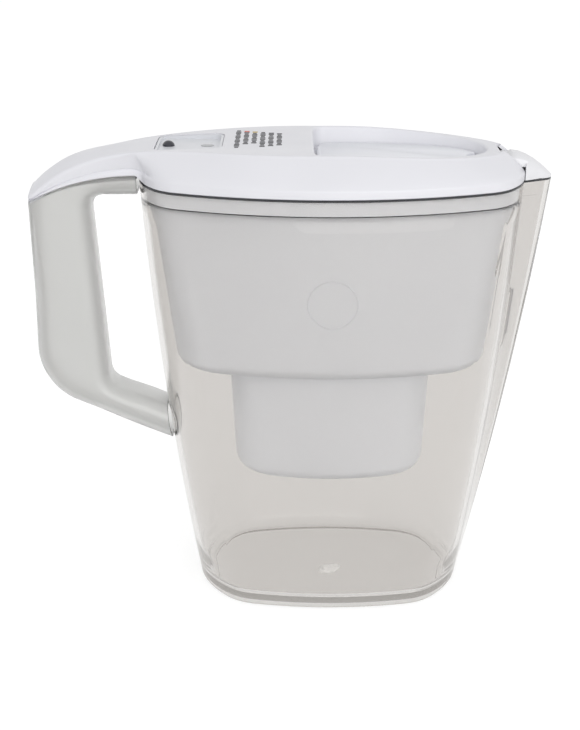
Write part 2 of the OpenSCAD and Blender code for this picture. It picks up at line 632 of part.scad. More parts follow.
module lid_shell() {
    edge = rim_line(0);
    ridge = ridge_line(0, 1.4);
    inner_edge = rim_line(skirt_outset + skirt_wall);
    inner_ridge = ridge_line(0.8, skirt_outset + skirt_wall + 0.4);
    drop = lid_wall;
    color([0.93, 0.93, 0.95]) difference() {
        union() {
            hoop(concat(
                [at_height(edge, lid_low), at_height(edge, shoulder - 1),
                 at_height(rim_line(0.35), shoulder)],
                [for (t = flank_shares) flank_ring(rim_line(0.9), ridge, shoulder + 0.7, 0.15, t)],
                [flat_ring(ridge, recess_top(lip), 0.03, 0)],
                [for (t = flat_shares) flat_ring(ridge, recess_top(lip), t, 0)],
                [flat_ring(recess_top(lip), edge, 0, 0), flat_ring(recess_top(0), edge, 0, 1.1),
                 at_height(recess_low(0), flap_ledge), at_height(fill_opening(), flap_ledge),
                 at_height(fill_opening(), flap_ledge - ledge_thickness),
                 at_height(recess_low(recess_wall), flap_ledge - ledge_thickness),
                 flat_ring(recess_top(recess_wall), edge, 0, drop)],
                [for (t = [0.75, 0.5, 0.25]) flat_ring(inner_ridge, recess_top(recess_wall), t, drop)],
                [for (t = [1, 0.8, 0.6, 0.4, 0.2])
                    flank_ring(inner_edge, inner_ridge, shoulder + 0.6, drop + 0.15, t)],
                [at_height(inner_edge, shoulder + 0.6), at_height(inner_edge, lid_low - lid_skirt),
                 at_height(rim_line(skirt_outset), lid_low - lid_skirt),
                 at_height(rim_line(skirt_outset), lid_low)]));
            lid_tail();
        }
        block(notch_x, rim_half_length + cut, -notch_half, notch_half, lid_low - lid_skirt - cut,
              top_height);
        bar_at(case_place, case_length + 2 * part_gap, case_width + 2 * part_gap, case_round + part_gap,
               case_low - cut, top_height + cut);
        rod(flap_hinge_x, flap_hinge_z, barrel_radius + part_gap, -barrel_half - part_gap,
            barrel_half + part_gap);
        for (side = [-1, 1])
            rod(flap_hinge_x, flap_hinge_z, pin_radius + pin_clearance,
                side > 0 ? barrel_half : -flap_pin_reach - 0.4, side > 0 ? flap_pin_reach + 0.4
                    : -barrel_half);
        rod(spout_hinge_x, spout_hinge_z, pin_radius + pin_clearance, -notch_half - ear_wall,
            notch_half + ear_wall);
    }
    color([0.93, 0.93, 0.95]) for (side = [-1, 1])
        difference() {
            union() {
                rod(spout_hinge_x, spout_hinge_z, ear_radius, side > 0 ? notch_half
                    : -notch_half - ear_wall,
                    side > 0 ? notch_half + ear_wall : -notch_half);
                block(spout_hinge_x - ear_radius, spout_hinge_x + ear_radius,
                      side > 0 ? notch_half : -notch_half - ear_wall, side > 0 ? notch_half + ear_wall
                          : -notch_half,
                      spout_hinge_z, spout_hinge_z + ear_radius - 0.6);
            }
            rod(spout_hinge_x, spout_hinge_z, pin_radius + pin_clearance, side > 0 ? 0 : -20,
                side > 0 ? 20 : 0);
        }
}

module fill_flap() {
    scoop_radius = 12;
    scoop_depth = 8;
    end_x = top_centre + recess_front - 1 - flap_gap;
    color([0.94, 0.94, 0.96]) union() {
        difference() {
            prism(flap_outline(), flap_top - flap_thickness, flap_top);
            block(flap_hinge_x - 10, flap_hinge_x, -60, 60, flap_top - 10, flap_top + 10);
            translate([end_x + scoop_radius - scoop_depth, 0, flap_top - flap_thickness - cut])
                cylinder(h = flap_thickness + 2 * cut, r = scoop_radius);
        }
        rod(flap_hinge_x, flap_hinge_z, barrel_radius, -barrel_half, barrel_half);
        rod(flap_hinge_x, flap_hinge_z, pin_radius, -flap_pin_reach, flap_pin_reach);
    }
}

// Spout flap: sections across X, with an arched crown that falls to the nose
spout_tip = rim_half_length + spout_reach;
flap_start = rim_half_length + 0.5;
nose_x = spout_tip - spout_nose_radius;
crown_x = spout_hinge_x + 3;
function crown_at(x) =
    x < crown_x ? mix(spout_hinge_z + root_radius - 0.2, jug_height + 13.6,
                      (x - spout_hinge_x) / (crown_x - spout_hinge_x))
                : mix(jug_height + 13.6, lid_low + 0.9, pow((x - crown_x) / (spout_tip - crown_x), 1.8));
function spout_half(x) =
    x > nose_x ? sqrt(max(0, pow(spout_nose_radius, 2) - pow(x - nose_x, 2)))
               : mix(spout_half_width, spout_nose_radius,
                     clipped((x - flap_start) / (nose_x - flap_start)));
function spout_section(x, h, low, top, share, bend) =
    let (edge = mix(low, top, share))
    [for (q = [[h, low], [h, edge], [0.85 * h, mix(edge, top, 0.42)], [0.5 * h, mix(edge, top, 0.8)],
               [0, top],
               [-0.5 * h, mix(edge, top, 0.8)], [-0.85 * h, mix(edge, top, 0.42)], [-h, edge], [-h, low]])
        [x - bend * q[0] * q[0] / (2 * end_radius), q[0], q[1]]];
function wide_section(x, inset, low, bend) =
    spout_section(x, spout_half(x) - inset, low, crown_at(x) - inset, 0.5, bend);

module spout_flap() {
    wall = spout_flap_wall;
    neck_low = spout_hinge_z - 1.6;
    color([0.94, 0.94, 0.95]) union() {
        difference() {
            stack(concat(
                [for (x = [spout_hinge_x, crown_x, mix(crown_x, flap_start, 0.5)])
                    spout_section(x, neck_half_width - 0.3, neck_low, crown_at(x), 0.62, 0)],
                [spout_section(flap_start, neck_half_width - 0.3, neck_low, crown_at(flap_start), 0.62,
                               1)],
                [for (q = [[flap_start + 0.02, 1], [flap_start + 2, 0.6], [flap_start + 4.5, 0.2],
                           [nose_x, 0],
                           [nose_x + 2.6, 0], [nose_x + 4.6, 0], [nose_x + 6, 0], [spout_tip - 0.12, 0]])
                    wide_section(q[0], 0, lid_low, q[1])]));
            stack([for (q = [[flap_start + wall, 1], [flap_start + 3, 0.6], [flap_start + 5, 0.2],
                             [nose_x, 0],
                             [nose_x + 2.6, 0], [nose_x + 4.4, 0]])
                       wide_section(q[0], wall, lid_low - cut, q[1])]);
        }
        rod(spout_hinge_x, spout_hinge_z, root_radius, -neck_half_width, neck_half_width);
        rod(spout_hinge_x, spout_hinge_z, pin_radius, -notch_half - ear_wall + 0.4,
            notch_half + ear_wall - 0.4);
    }
}

case_wall = 1.3;
cover_thickness = 1.4;
frame_thickness = 0.8;
button_x = case_place - 11;
lens_x = case_place + 9;
board_low = face_top - 5.4;
board_thickness = 1.2;
board_top = board_low + board_thickness;
button_flange = 0.8;
button_rise = 0.8;
button_crown = 2;
lens_length = 6.6;
lens_width = 5;
tub_length = case_length - 2 * case_wall;
tub_width = case_width - 2 * case_wall;
tub_round = case_round - case_wall;

module indicator_case() {
    x0 = case_place - case_length / 2 - cut;
    x1 = case_place + case_length / 2 + cut;
    color([0.86, 0.86, 0.88]) difference() {
        intersection() {
            bar_at(case_place, case_length, case_width, case_round, case_low, top_height);
            translate([0, case_width, 0]) rotate([90, 0, 0]) linear_extrude(height = 2 * case_width)
                polygon([[x0, case_low - cut], [x1, case_low - cut], [x1, top_at(x1) - 0.4],
                         [x0, top_at(x0) - 0.4]]);
        }
        bar_at(case_place, tub_length, tub_width, tub_round, face_top, top_height + cut);
        bar_at(case_place, tub_length, tub_width, tub_round, case_low - cut, face_top - face_thickness);
        translate([button_x, 0, face_top - face_thickness - cut])
            cylinder(h = face_thickness + 2 * cut, r = button_radius + pin_clearance);
        bar_at(lens_x, lens_length + 0.1, lens_width + 0.1, lens_width / 2,
               face_top - face_thickness - cut,
               face_top + cut);
    }
}

module indicator_button() {
    low = face_top - face_thickness - seat_gap - button_flange;
    ball = (button_radius * button_radius + button_crown * button_crown) / (2 * button_crown);
    color([0.25, 0.25, 0.27]) translate([button_x, 0, 0]) union() {
        translate([0, 0, low]) cylinder(h = button_flange, r = button_radius + 0.8);
        translate([0, 0, low]) cylinder(h = face_top + button_rise - low, r = button_radius);
        translate([0, 0, face_top + button_rise]) intersection() {
            translate([0, 0, button_crown - ball]) sphere(r = ball, $fn = 32);
            cylinder(h = 3, r = button_radius);
        }
    }
}

module button_dome() {
    room = face_top - face_thickness - seat_gap - button_flange - button_travel - 0.1 - board_top;
    color([0.70, 0.70, 0.72]) translate([button_x, 0, board_top]) difference() {
        cylinder(h = room, r1 = button_radius, r2 = button_radius - 0.9);
        translate([0, 0, -cut]) cylinder(h = room + 2 * cut, r = button_radius - 1.6);
    }
}

module indicator_lens() {
    low = face_top - face_thickness - 0.5;
    color([0.60, 0.61, 0.62]) union() {
        bar_at(lens_x, lens_length, lens_width, lens_width / 2 - 0.05, low, face_top + 0.2);
        bar_at(lens_x, lens_length + 1.4, lens_width + 1.4, lens_width / 2 + 0.6, low - 0.3, low + 0.3);
    }
}

module indicator_led() {
    color([0.85, 0.85, 0.55]) translate([lens_x - 1.6, -0.8, board_top]) cube([3.2, 1.6, 1]);
}

module indicator_board() {
    color([0.15, 0.40, 0.25])
        bar_at(case_place, tub_length - 2 * part_gap, tub_width - 2 * part_gap, tub_round, board_low,
               board_top);
}

cell_gap = 0.3;
cell_low = board_low - cell_gap - cell_thickness;
module coin_cell() {
    color([0.72, 0.73, 0.75]) union() {
        translate([case_place, 0, cell_low]) cylinder(h = cell_thickness * 0.8, r = cell_radius);
        translate([case_place, 0, cell_low]) cylinder(h = cell_thickness, r = cell_radius - 1);
    }
}

module battery_clip() {
    leaf = 0.3;
    reach = cell_radius + 1.1;
    low = cell_low - cell_gap - leaf;
    color([0.78, 0.76, 0.66]) union() {
        block(case_place - reach, case_place + reach, -2, 2, low, low + leaf);
        for (side = [-1, 1])
            block(case_place + side * reach - leaf, case_place + side * reach + leaf, -2, 2, low,
                  board_low);
    }
}

module case_cover() {
    color([0.84, 0.84, 0.86])
        bar_at(case_place, tub_length - 2 * part_gap, tub_width - 2 * part_gap, tub_round,
               case_low, case_low + cover_thickness - frame_thickness);
}

module case_seal() {
    frame_width = 1.2;
    color([0.30, 0.31, 0.33]) difference() {
        bar_at(case_place, tub_length - 2 * part_gap, tub_width - 2 * part_gap, tub_round,
               case_low + cover_thickness - frame_thickness, case_low + cover_thickness);
        bar_at(case_place, tub_length - 2 * frame_width, tub_width - 2 * frame_width, tub_round,
               case_low, case_low + cover_thickness + cut);
    }
}

jug_body();
handle_shell();
hopper();
cartridge_body();
cartridge_cap();
cartridge_seal();
upper_screen();
lower_screen();
filter_media();
lid_shell();
fill_flap();
spout_flap();
indicator_case();
indicator_button();
button_dome();
indicator_lens();
indicator_led();
indicator_board();
coin_cell();
battery_clip();
case_cover();
case_seal();
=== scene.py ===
"""Water filter pitcher with a flip lid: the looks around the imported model.

Lengths are millimetres in the model's own frame, and become metres when a mesh is made.
The lamp and the camera are placed in metres.
"""

import math

import bmesh
import bpy
import numpy as np
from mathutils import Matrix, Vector
from mathutils.geometry import delaunay_2d_cdt


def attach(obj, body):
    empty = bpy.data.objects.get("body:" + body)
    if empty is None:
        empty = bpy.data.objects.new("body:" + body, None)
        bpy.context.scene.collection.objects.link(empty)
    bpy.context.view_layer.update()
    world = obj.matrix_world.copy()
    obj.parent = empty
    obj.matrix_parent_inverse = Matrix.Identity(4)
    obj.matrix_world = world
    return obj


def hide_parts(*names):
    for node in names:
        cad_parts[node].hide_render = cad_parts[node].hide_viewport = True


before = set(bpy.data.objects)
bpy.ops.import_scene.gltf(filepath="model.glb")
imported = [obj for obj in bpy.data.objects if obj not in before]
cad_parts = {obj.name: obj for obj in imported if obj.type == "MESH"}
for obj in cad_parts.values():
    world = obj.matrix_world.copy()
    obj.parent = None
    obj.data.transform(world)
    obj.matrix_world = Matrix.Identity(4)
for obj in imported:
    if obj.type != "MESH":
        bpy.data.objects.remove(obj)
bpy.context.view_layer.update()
MM = 0.001

# Jug
JUG_HEIGHT = 227.6
RIM_LENGTH = 99.7
RIM_WIDTH = 54.8
BASE_LENGTH = 72.6
BASE_WIDTH = 50.5
LENGTH_BOW = 3.3
WIDTH_BOW = 1.8
JUG_WALL = 2.8
RIM_WALL = 1.4
LEDGE_HEIGHT = JUG_HEIGHT - 8.4
LEDGE_INSET = 4.4
FOOT_ROUND = 3.8
FOOT_HOLLOW = 1.6
FOOT_LAND = 3.0
FOOT_REACH = FOOT_ROUND + FOOT_LAND
FLOOR_HEIGHT = FOOT_HOLLOW + 3.2
INNER_ROUND = 7.0
SEAT_GAP = 0.3
PART_GAP = 0.35
RIM_EDGE = 0.35
RIM_EDGE_INNER = 0.3

# Spout wedge of the jug
SPOUT_REACH = 14.2
SPOUT_REACH_BASE = 1.5
SPOUT_FLARE = 1.1
SPOUT_HALF_WIDTH = 12.0
SPOUT_NOSE = 7.0
SPOUT_TIP = RIM_LENGTH + SPOUT_REACH

# Handle
HANDLE_REACH = 56.0
HANDLE_HALF_DEPTH = 15.0
HANDLE_WALL = 2.2
UPPER_ARM_HEIGHT = 220.6
LOWER_ARM_HEIGHT = 103.6
LOWER_ARM_DEPTH = 19.8

# Hopper and its well
HOPPER_FLOOR = 130.6
HOPPER_WALL = 2.0
HOPPER_LENGTH = 83.0
HOPPER_WIDTH = 46.5
HOPPER_GAP = 6.0
WELL_LENGTH = 54.0
WELL_WIDTH = 37.5
WELL_DEPTH = 62.0
WELL_TAPER = 3.2
WELL_LOW = HOPPER_FLOOR - WELL_DEPTH
WELL_ROUND = 7.0
BOWL_ROUND = 7.0
BOWL_TOP = LEDGE_HEIGHT - 1
FLANGE_WALL = 1.6
COLLAR_INSET = RIM_WALL + PART_GAP
COLLAR_EDGE = 0.4
SLOT_PITCH, SLOT_HALF, SLOT_REACH, SLOTS_PER_SIDE = 7, 1.1, 14, 4

# Plan outline: radii of the side, end and corner, and steps along each
PLAN_RADII = (207.0, 52.0, 27.0)
WELL_RADII = (110.0, 45.0, 22.0)
END_STEPS, CORNER_STEPS, SIDE_STEPS, NOSE_STEPS = 9, 12, 11, 9
WALL_LEVELS = 30

# Plan triangles: height of a row over the spacing, and clearance to the loops over the spacing
ROW_SHARE = 0.866
LOOP_CLEARANCE = 0.55


def mix(a, b, t):
    return a + (b - a) * t


def clipped(t):
    return np.clip(t, 0.0, 1.0)


def smooth(t):
    t = clipped(t)
    return t * t * (3 - 2 * t)


def arc(cx, cy, r, angles):
    a = np.radians(np.asarray(angles, float))
    return np.stack([cx + r * np.cos(a), cy + r * np.sin(a)], 1)


def corner_centre(a, b, rs, re, rc):
    """Centre of the corner arc, which touches the end arc and the side arc from inside."""
    p0, p1 = np.array([a - re, 0.0]), np.array([0.0, b - rs])
    r0, r1 = re - rc, rs - rc
    d = np.linalg.norm(p1 - p0)
    q = (r0 * r0 - r1 * r1 + d * d) / (2 * d)
    e = (p1 - p0) / d
    return p0 + q * e + math.sqrt(max(0.0, r0 * r0 - q * q)) * np.array([-e[1], e[0]])


def quarter(a, b, radii, y0=0.0):
    """One quarter of a plan outline, from the end (or from y0 on the end arc) to the side."""
    rs, re, rc = radii
    c = corner_centre(a, b, rs, re, rc)
    turn_end = math.degrees(math.atan2(c[1], c[0] - (a - re)))
    turn_side = math.degrees(math.atan2(c[1] - (b - rs), c[0]))
    start = math.degrees(math.asin(y0 / re))
    end = arc(a - re, 0, re, np.linspace(start, turn_end, END_STEPS + 1))
    corner = arc(c[0], c[1], rc, np.linspace(turn_end, turn_side, CORNER_STEPS + 1))
    side = arc(0, b - rs, rs, np.linspace(turn_side, 90, SIDE_STEPS + 1))
    return np.concatenate([end, corner[1:], side[1:]])


def mirror_x(points):
    return points * np.array([-1, 1])


def close_outline(half):
    return np.concatenate([half, (half[1:-1] * np.array([1, -1]))[::-1]])


def oval(a, b, inset=0.0, radii=PLAN_RADII):
    q = quarter(a - inset, b - inset, [r - inset for r in radii])
    return close_outline(np.concatenate([q, mirror_x(q)[::-1][1:]]))


def jug_outline(a, b, tip, inset=0.0, spout_inset=0.0, shrink=0.0):
    """Outline of the jug with its spout.

    inset and spout_inset go square to the surface, and shrink moves the walls in.
    """
    ai, bi = a - inset - shrink, b - inset - shrink
    radii = [r - inset for r in PLAN_RADII]
    r = SPOUT_NOSE - spout_inset
    near = quarter(ai, bi, radii, SPOUT_HALF_WIDTH - spout_inset)
    far = quarter(ai, bi, radii)
    cx = tip - shrink - SPOUT_NOSE
    v = near[0] - np.array([cx, 0])
    sweep = math.degrees(math.atan2(v[1], v[0]) - math.acos(min(1, r / np.linalg.norm(v))))
    nose = arc(cx, 0, r, np.linspace(0, max(3.0, sweep), NOSE_STEPS + 1))
    return close_outline(np.concatenate([nose, near, mirror_x(far)[::-1][1:]]))


def at_height(points, z):
    """Plan points in space, at one height or at a height for each."""
    z = np.broadcast_to(np.asarray(z, float), (len(points),))
    return np.column_stack([points[:, 0], points[:, 1], z])


# Meshes
class Shape:
    """Vertices and faces of a piece, gathered from several bodies, in millimetres."""

    def __init__(self):
        self.verts, self.faces = [], []

    def add(self, verts, faces):
        base = len(self.verts)
        self.verts += [tuple(v) for v in np.asarray(verts, float)]
        self.faces += [[base + i for i in f] for f in faces]
        return self

    def make(self, name):
        mesh = bpy.data.meshes.new(name)
        mesh.from_pydata((np.asarray(self.verts) * MM).tolist(), [], self.faces)
        obj = bpy.data.objects.new(name, mesh)
        bpy.context.scene.collection.objects.link(obj)
        return obj

    def loft(self, rings, closed=False, caps=True, around=True):
        """Skin over rings of equal count. closed joins the last ring to the first."""
        n, count = len(rings[0]), len(rings)
        faces = []
        for i in range(count if closed else count - 1):
            k = (i + 1) % count
            for j in range(n if around else n - 1):
                m = (j + 1) % n
                faces.append([i * n + j, i * n + m, k * n + m, k * n + j])
        if caps and not closed:
            faces.append(list(range(n))[::-1])
            faces.append([(count - 1) * n + j for j in range(n)])
        return self.add(np.concatenate(rings), faces)

    def lathe(self, profile, centre, steps=48):
        """Turn (radius, height) points about an upright axis, with a flat cap at each end."""
        cx, cy = centre
        a = np.linspace(0, 2 * math.pi, steps, endpoint=False)
        rings = [
            np.column_stack([cx + r * np.cos(a), cy + r * np.sin(a), np.full(steps, z)])
            for r, z in profile
        ]
        return self.loft(rings)

    def rod(self, x, z, r, y0, y1, steps=32, edge=0.25):
        """Round bar along Y with eased ends."""
        a = np.linspace(0, 2 * math.pi, steps, endpoint=False)
        sections = [(y0, r - edge), (y0 + edge, r), (y1 - edge, r), (y1, r - edge)]
        rings = [
            np.column_stack([x + s * np.sin(a), np.full(steps, y), z + s * np.cos(a)])
            for y, s in sections
        ]
        return self.loft(rings)

    def block(self, x0, x1, y0, y1, z0, z1):
        low = np.array([[x0, y0], [x1, y0], [x1, y1], [x0, y1]], float)
        return self.loft([at_height(low, z0), at_height(low, z1)])

    def sheet(self, outer, height, spacing, holes=()):
        """Triangles over a plan region. height(points) gives z, and spacing places inner points."""
        tris, points = plan_triangles(outer, holes, spacing)
        return self.add(at_height(points, height(points)), tris)


def inside(points, loop):
    """True where a plan point lies inside a closed loop."""
    x, y = points[:, 0], points[:, 1]
    found = np.zeros(len(points), bool)
    for p, q in zip(loop, np.roll(loop, -1, axis=0)):
        crosses = (p[1] > y) != (q[1] > y)
        dy = q[1] - p[1] if q[1] != p[1] else 1e-12
        found ^= crosses & (x < (q[0] - p[0]) * (y - p[1]) / dy + p[0])
    return found


def distance_to(points, loop):
    """Distance from each plan point to the closest stretch of a loop."""
    best = np.full(len(points), 1e9)
    for p, q in zip(loop, np.roll(loop, -1, axis=0)):
        d = q - p
        t = np.clip(((points - p) @ d) / max(d @ d, 1e-12), 0, 1)
        best = np.minimum(best, np.linalg.norm(points - p - t[:, None] * d, axis=1))
    return best


def plan_triangles(outer, holes, spacing):
    """Triangles between a loop and its holes, all facing up, and the plan points they join."""
    loops = [outer, *holes]
    low, high = outer.min(0), outer.max(0)
    xs = np.arange(low[0], high[0], spacing)
    ys = np.arange(low[1], high[1], spacing * ROW_SHARE)
    grid = np.array([(x + (k % 2) * spacing / 2, y) for k, y in enumerate(ys) for x in xs])
    keep = inside(grid, outer)
    for loop in holes:
        keep &= ~inside(grid, loop)
    for loop in loops:
        keep &= distance_to(grid, loop) > spacing * LOOP_CLEARANCE
    points, edges = [], []
    for loop in loops:
        base, n = len(points), len(loop)
        points += [Vector(p) for p in loop]
        edges += [(base + i, base + (i + 1) % n) for i in range(n)]
    points += [Vector(p) for p in grid[keep]]
    verts, _, faces, *_ = delaunay_2d_cdt(points, edges, [], 0, 1e-7)
    verts = np.array([tuple(v) for v in verts])
    middles = np.array([verts[list(f)].mean(0) for f in faces])
    good = inside(middles, outer)
    for loop in holes:
        good &= ~inside(middles, loop)
    tris = []
    for f, use in zip(faces, good):
        if use:
            a, b, c = (verts[i] for i in f)
            turn = (b[0] - a[0]) * (c[1] - a[1]) - (b[1] - a[1]) * (c[0] - a[0])
            tris.append(list(f) if turn > 0 else list(f)[::-1])
    return tris, verts


def inset_loop(loop, distance):
    """A closed loop moved towards its inside, for a loop that runs anticlockwise."""
    before, after = np.roll(loop, 1, axis=0), np.roll(loop, -1, axis=0)
    d = after - before
    d /= np.linalg.norm(d, axis=1)[:, None]
    return loop + distance * np.column_stack([-d[:, 1], d[:, 0]])


def finish_piece(obj, body, material, replaces=(), angle=32, cutter=None, weld=True):
    """Welding, cutting, shading and the piece's place in the frame."""
    mesh = obj.data
    if weld:
        bm = bmesh.new()
        bm.from_mesh(mesh)
        bmesh.ops.remove_doubles(bm, verts=bm.verts, dist=2e-6)
        bmesh.ops.recalc_face_normals(bm, faces=bm.faces)
        bm.to_mesh(mesh)
        bm.free()
    mesh.materials.append(material)
    if cutter:
        cut = obj.modifiers.new("cut", "BOOLEAN")
        cut.operation = "DIFFERENCE"
        cut.solver = "EXACT"
        cut.object = cutter
        apply_modifiers(obj)
        bpy.data.objects.remove(cutter)
    obj.data.shade_smooth()
    obj.data.set_sharp_from_angle(angle=math.radians(angle))
    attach(obj, body)
    if replaces:
        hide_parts(*replaces)


def apply_modifiers(obj):
    """Bake the modifiers into the mesh."""
    bpy.context.view_layer.update()
    graph = bpy.context.evaluated_depsgraph_get()
    mesh = bpy.data.meshes.new_from_object(obj.evaluated_get(graph))
    obj.modifiers.clear()
    obj.data = mesh


# Materials
def principled(name, colour, roughness, **sockets):
    """A node material with its base shader. The colour goes in as linear light."""
    material = bpy.data.materials.new(name)
    material.use_nodes = True
    tree = material.node_tree
    shader = tree.nodes["Principled BSDF"]
    shader.inputs["Base Color"].default_value = (*colour, 1)
    shader.inputs["Roughness"].default_value = roughness
    for socket, value in sockets.items():
        shader.inputs[socket.replace("_", " ")].default_value = value
    return material, tree, shader


def add_node(tree, kind, **inputs):
    node = tree.nodes.new("ShaderNode" + kind)
    for key, value in inputs.items():
        if key in node.inputs:
            node.inputs[key].default_value = value
        else:
            setattr(node, key, value)
    return node


def link(source, output, target, socket):
    source.id_data.links.new(source.outputs[output], target.inputs[socket])


def show_mix(tree, out, source, output, first, second):
    """Show the first shader where the source's output is 0 and the second where it is 1."""
    pick = add_node(tree, "MixShader")
    link(source, output, pick, "Fac")
    link(first, 0, pick, 1)
    link(second, 0, pick, 2)
    link(pick, 0, out, "Surface")


def pattern(tree, kind, **inputs):
    """A texture laid on the piece's own coordinates."""
    texture = add_node(tree, "Tex" + kind, **inputs)
    link(add_node(tree, "TexCoord"), "Object", texture, "Vector")
    return texture


def lead_to_colour(tree, shader, source, output, low, high, ends=(0.0, 1.0)):
    """Lead an output through a ramp of two tones into the base colour."""
    ramp = add_node(tree, "ValToRGB")
    first, last = ramp.color_ramp.elements
    first.position, last.position = ends
    first.color, last.color = (*low, 1), (*high, 1)
    link(source, output, ramp, "Fac")
    link(ramp, "Color", shader, "Base Color")


def lead_to_bump(tree, shader, source, output, strength, distance, invert=False):
    bump = add_node(tree, "Bump", Strength=strength, Distance=distance, invert=invert)
    link(source, output, bump, "Height")
    link(bump, "Normal", shader, "Normal")


# Most of a noise texture's values lie between these two
NOISE_LOW, NOISE_HIGH = 0.3, 0.7


def vary_colour(tree, shader, low, high, scale):
    """Slow drift of the colour between two tones."""
    texture = pattern(tree, "Noise", Scale=scale, Detail=2.0)
    lead_to_colour(tree, shader, texture, "Fac", low, high, (NOISE_LOW, NOISE_HIGH))


def vary_roughness(tree, shader, low, high, scale):
    texture = pattern(tree, "Noise", Scale=scale, Detail=3.0)
    spread = add_node(tree, "MapRange")
    ends = {"From Min": NOISE_LOW, "From Max": NOISE_HIGH, "To Min": low, "To Max": high}
    for socket, value in ends.items():
        spread.inputs[socket].default_value = value
    link(texture, "Fac", spread, "Value")
    link(spread, "Result", shader, "Roughness")


def add_bump(tree, shader, scale, strength, distance, detail=4.0):
    texture = pattern(tree, "Noise", Scale=scale, Detail=detail)
    lead_to_bump(tree, shader, texture, "Fac", strength, distance)


def moulded(name, colour, roughness, drift=0.012, grain=0.06, **sockets):
    """Opaque moulded plastic: faint drift in tone, satin patches and a fine grain."""
    material, tree, shader = principled(name, colour, roughness, **sockets)
    low = [c * (1 - drift) for c in colour]
    high = [min(1, c * (1 + drift)) for c in colour]
    vary_colour(tree, shader, low, high, scale=22)
    vary_roughness(tree, shader, roughness * 0.85, min(1, roughness * 1.15), scale=60)
    add_bump(tree, shader, scale=1900, strength=grain, distance=0.00004)
    return material


# Past this many bounces a ray that meets clear plastic shows a pale painted glow in place of black,
# painted light for what trapped rays would carry
TRAPPED_DEPTH = 5.5
TRAPPED_GLOW_PAINT = (0.62, 0.61, 0.60)


def clear_plastic(name, colour, roughness, absorb, density, **sockets):
    """Clear moulded plastic with a tint that deepens with the thickness looked through."""
    material, tree, shader = principled(
        name, colour, roughness, IOR=1.38, Transmission_Weight=1.0, **sockets
    )
    volume = add_node(tree, "VolumeAbsorption", Color=(*absorb, 1), Density=density)
    out = tree.nodes["Material Output"]
    link(volume, "Volume", out, "Volume")
    # Painted light: an emission glow on deep rays, so clear plastic shows no black where rays are
    # trapped
    path = add_node(tree, "LightPath")
    trapped = add_node(tree, "Math", operation="GREATER_THAN")
    trapped.inputs[1].default_value = TRAPPED_DEPTH
    painted_glow = add_node(tree, "Emission", Color=(*TRAPPED_GLOW_PAINT, 1), Strength=1.0)
    link(path, "Ray Depth", trapped, 0)
    show_mix(tree, out, trapped, 0, shader, painted_glow)
    add_bump(tree, shader, scale=34, strength=0.10, distance=0.0003, detail=2.0)
    return material


def milky(name, colour, roughness, transmission):
    """Milky moulded plastic that lets a share of the light through."""
    material, tree, shader = principled(
        name, colour, roughness, IOR=1.49, Transmission_Weight=transmission
    )
    low = [c * 0.985 for c in colour]
    vary_colour(tree, shader, low, colour, scale=16)
    vary_roughness(tree, shader, roughness * 0.9, roughness * 1.1, scale=45)
    add_bump(tree, shader, scale=1400, strength=0.05, distance=0.00004)
    return material


def metal(name, colour, roughness):
    material, tree, shader = principled(name, colour, roughness, Metallic=1.0)
    vary_roughness(tree, shader, roughness * 0.7, roughness * 1.4, scale=400)
    add_bump(tree, shader, scale=2500, strength=0.15, distance=0.00003)
    return material


def woven(name, colour, scale):
    """Fine mesh screen: a woven height pattern."""
    material, tree, shader = principled(name, colour, 0.6)
    top = add_node(tree, "Math", operation="MAXIMUM")
    for k, axis in enumerate(("X", "Y")):
        link(pattern(tree, "Wave", Scale=scale, bands_direction=axis), "Fac", top, k)
    lead_to_colour(tree, shader, top, 0, [c * 0.35 for c in colour], colour)
    lead_to_bump(tree, shader, top, 0, strength=0.8, distance=0.0002)
    return material


def granules(name, colour):
    material, tree, shader = principled(name, colour, 0.7)
    cells = pattern(tree, "Voronoi", Scale=900)
    # Granule middles are painted lighter and their gaps darker: painted highlight and painted shade
    middle, painted_gap_shade = [c * 1.6 for c in colour], [c * 0.4 for c in colour]
    lead_to_colour(tree, shader, cells, "Distance", middle, painted_gap_shade)
    lead_to_bump(tree, shader, cells, "Distance", strength=0.9, distance=0.0006, invert=True)
    return material


JUG_CLEAR = clear_plastic(
    "jug_clear", (0.805, 0.79, 0.775), 0.015, absorb=(0.60, 0.58, 0.55), density=18
)
# Near-black material that paints shade lines on clear plastic edges and joins
EDGE_SHADE_PAINT = moulded("painted_edge_shade", (0.035, 0.036, 0.04), 0.2)
HANDLE_FROSTED = clear_plastic(
    "handle_frosted", (0.80, 0.80, 0.79), 0.38, absorb=(0.6, 0.6, 0.58), density=20, Coat_Weight=0.4
)
HOPPER_MILKY = milky("hopper_milky", (0.92, 0.945, 0.99), 0.34, transmission=0.12)
LID_WHITE = moulded("lid_white", (0.70, 0.70, 0.735), 0.34)
FLAP_WHITE = moulded("fill_flap_white", (0.79, 0.80, 0.835), 0.34)
SPOUT_WHITE = moulded("spout_flap_white", (0.72, 0.72, 0.74), 0.34)
SCREEN_SCALE = 1 / (0.5 * MM) / 6.283  # about one thread a millimetre
SCREEN_MESH = woven("screen_mesh", (0.62, 0.65, 0.68), SCREEN_SCALE)
# Near-white gate mark colour: a painted highlight on the jug's floor
GATE_PAINTED_HIGHLIGHT = moulded("gate_mark_painted_highlight", (0.97, 0.97, 0.96), 0.4)
INK_BLACK = moulded("ink_black", (0.03, 0.03, 0.035), 0.5, drift=0.2)
INK_RED = moulded("ink_red", (0.55, 0.10, 0.06), 0.5, drift=0.1)
INK_OCHRE = moulded("ink_ochre", (0.50, 0.36, 0.08), 0.5, drift=0.1)


# Jug: profile by height
def rise_share(z):
    return (z - FOOT_ROUND) / (JUG_HEIGHT - FOOT_ROUND)


def bowed(low, high, bow, t):
    return mix(low, high, t) + 4 * bow * t * (1 - t)


def half_length_at(z):
    return bowed(BASE_LENGTH, RIM_LENGTH, LENGTH_BOW, rise_share(z))


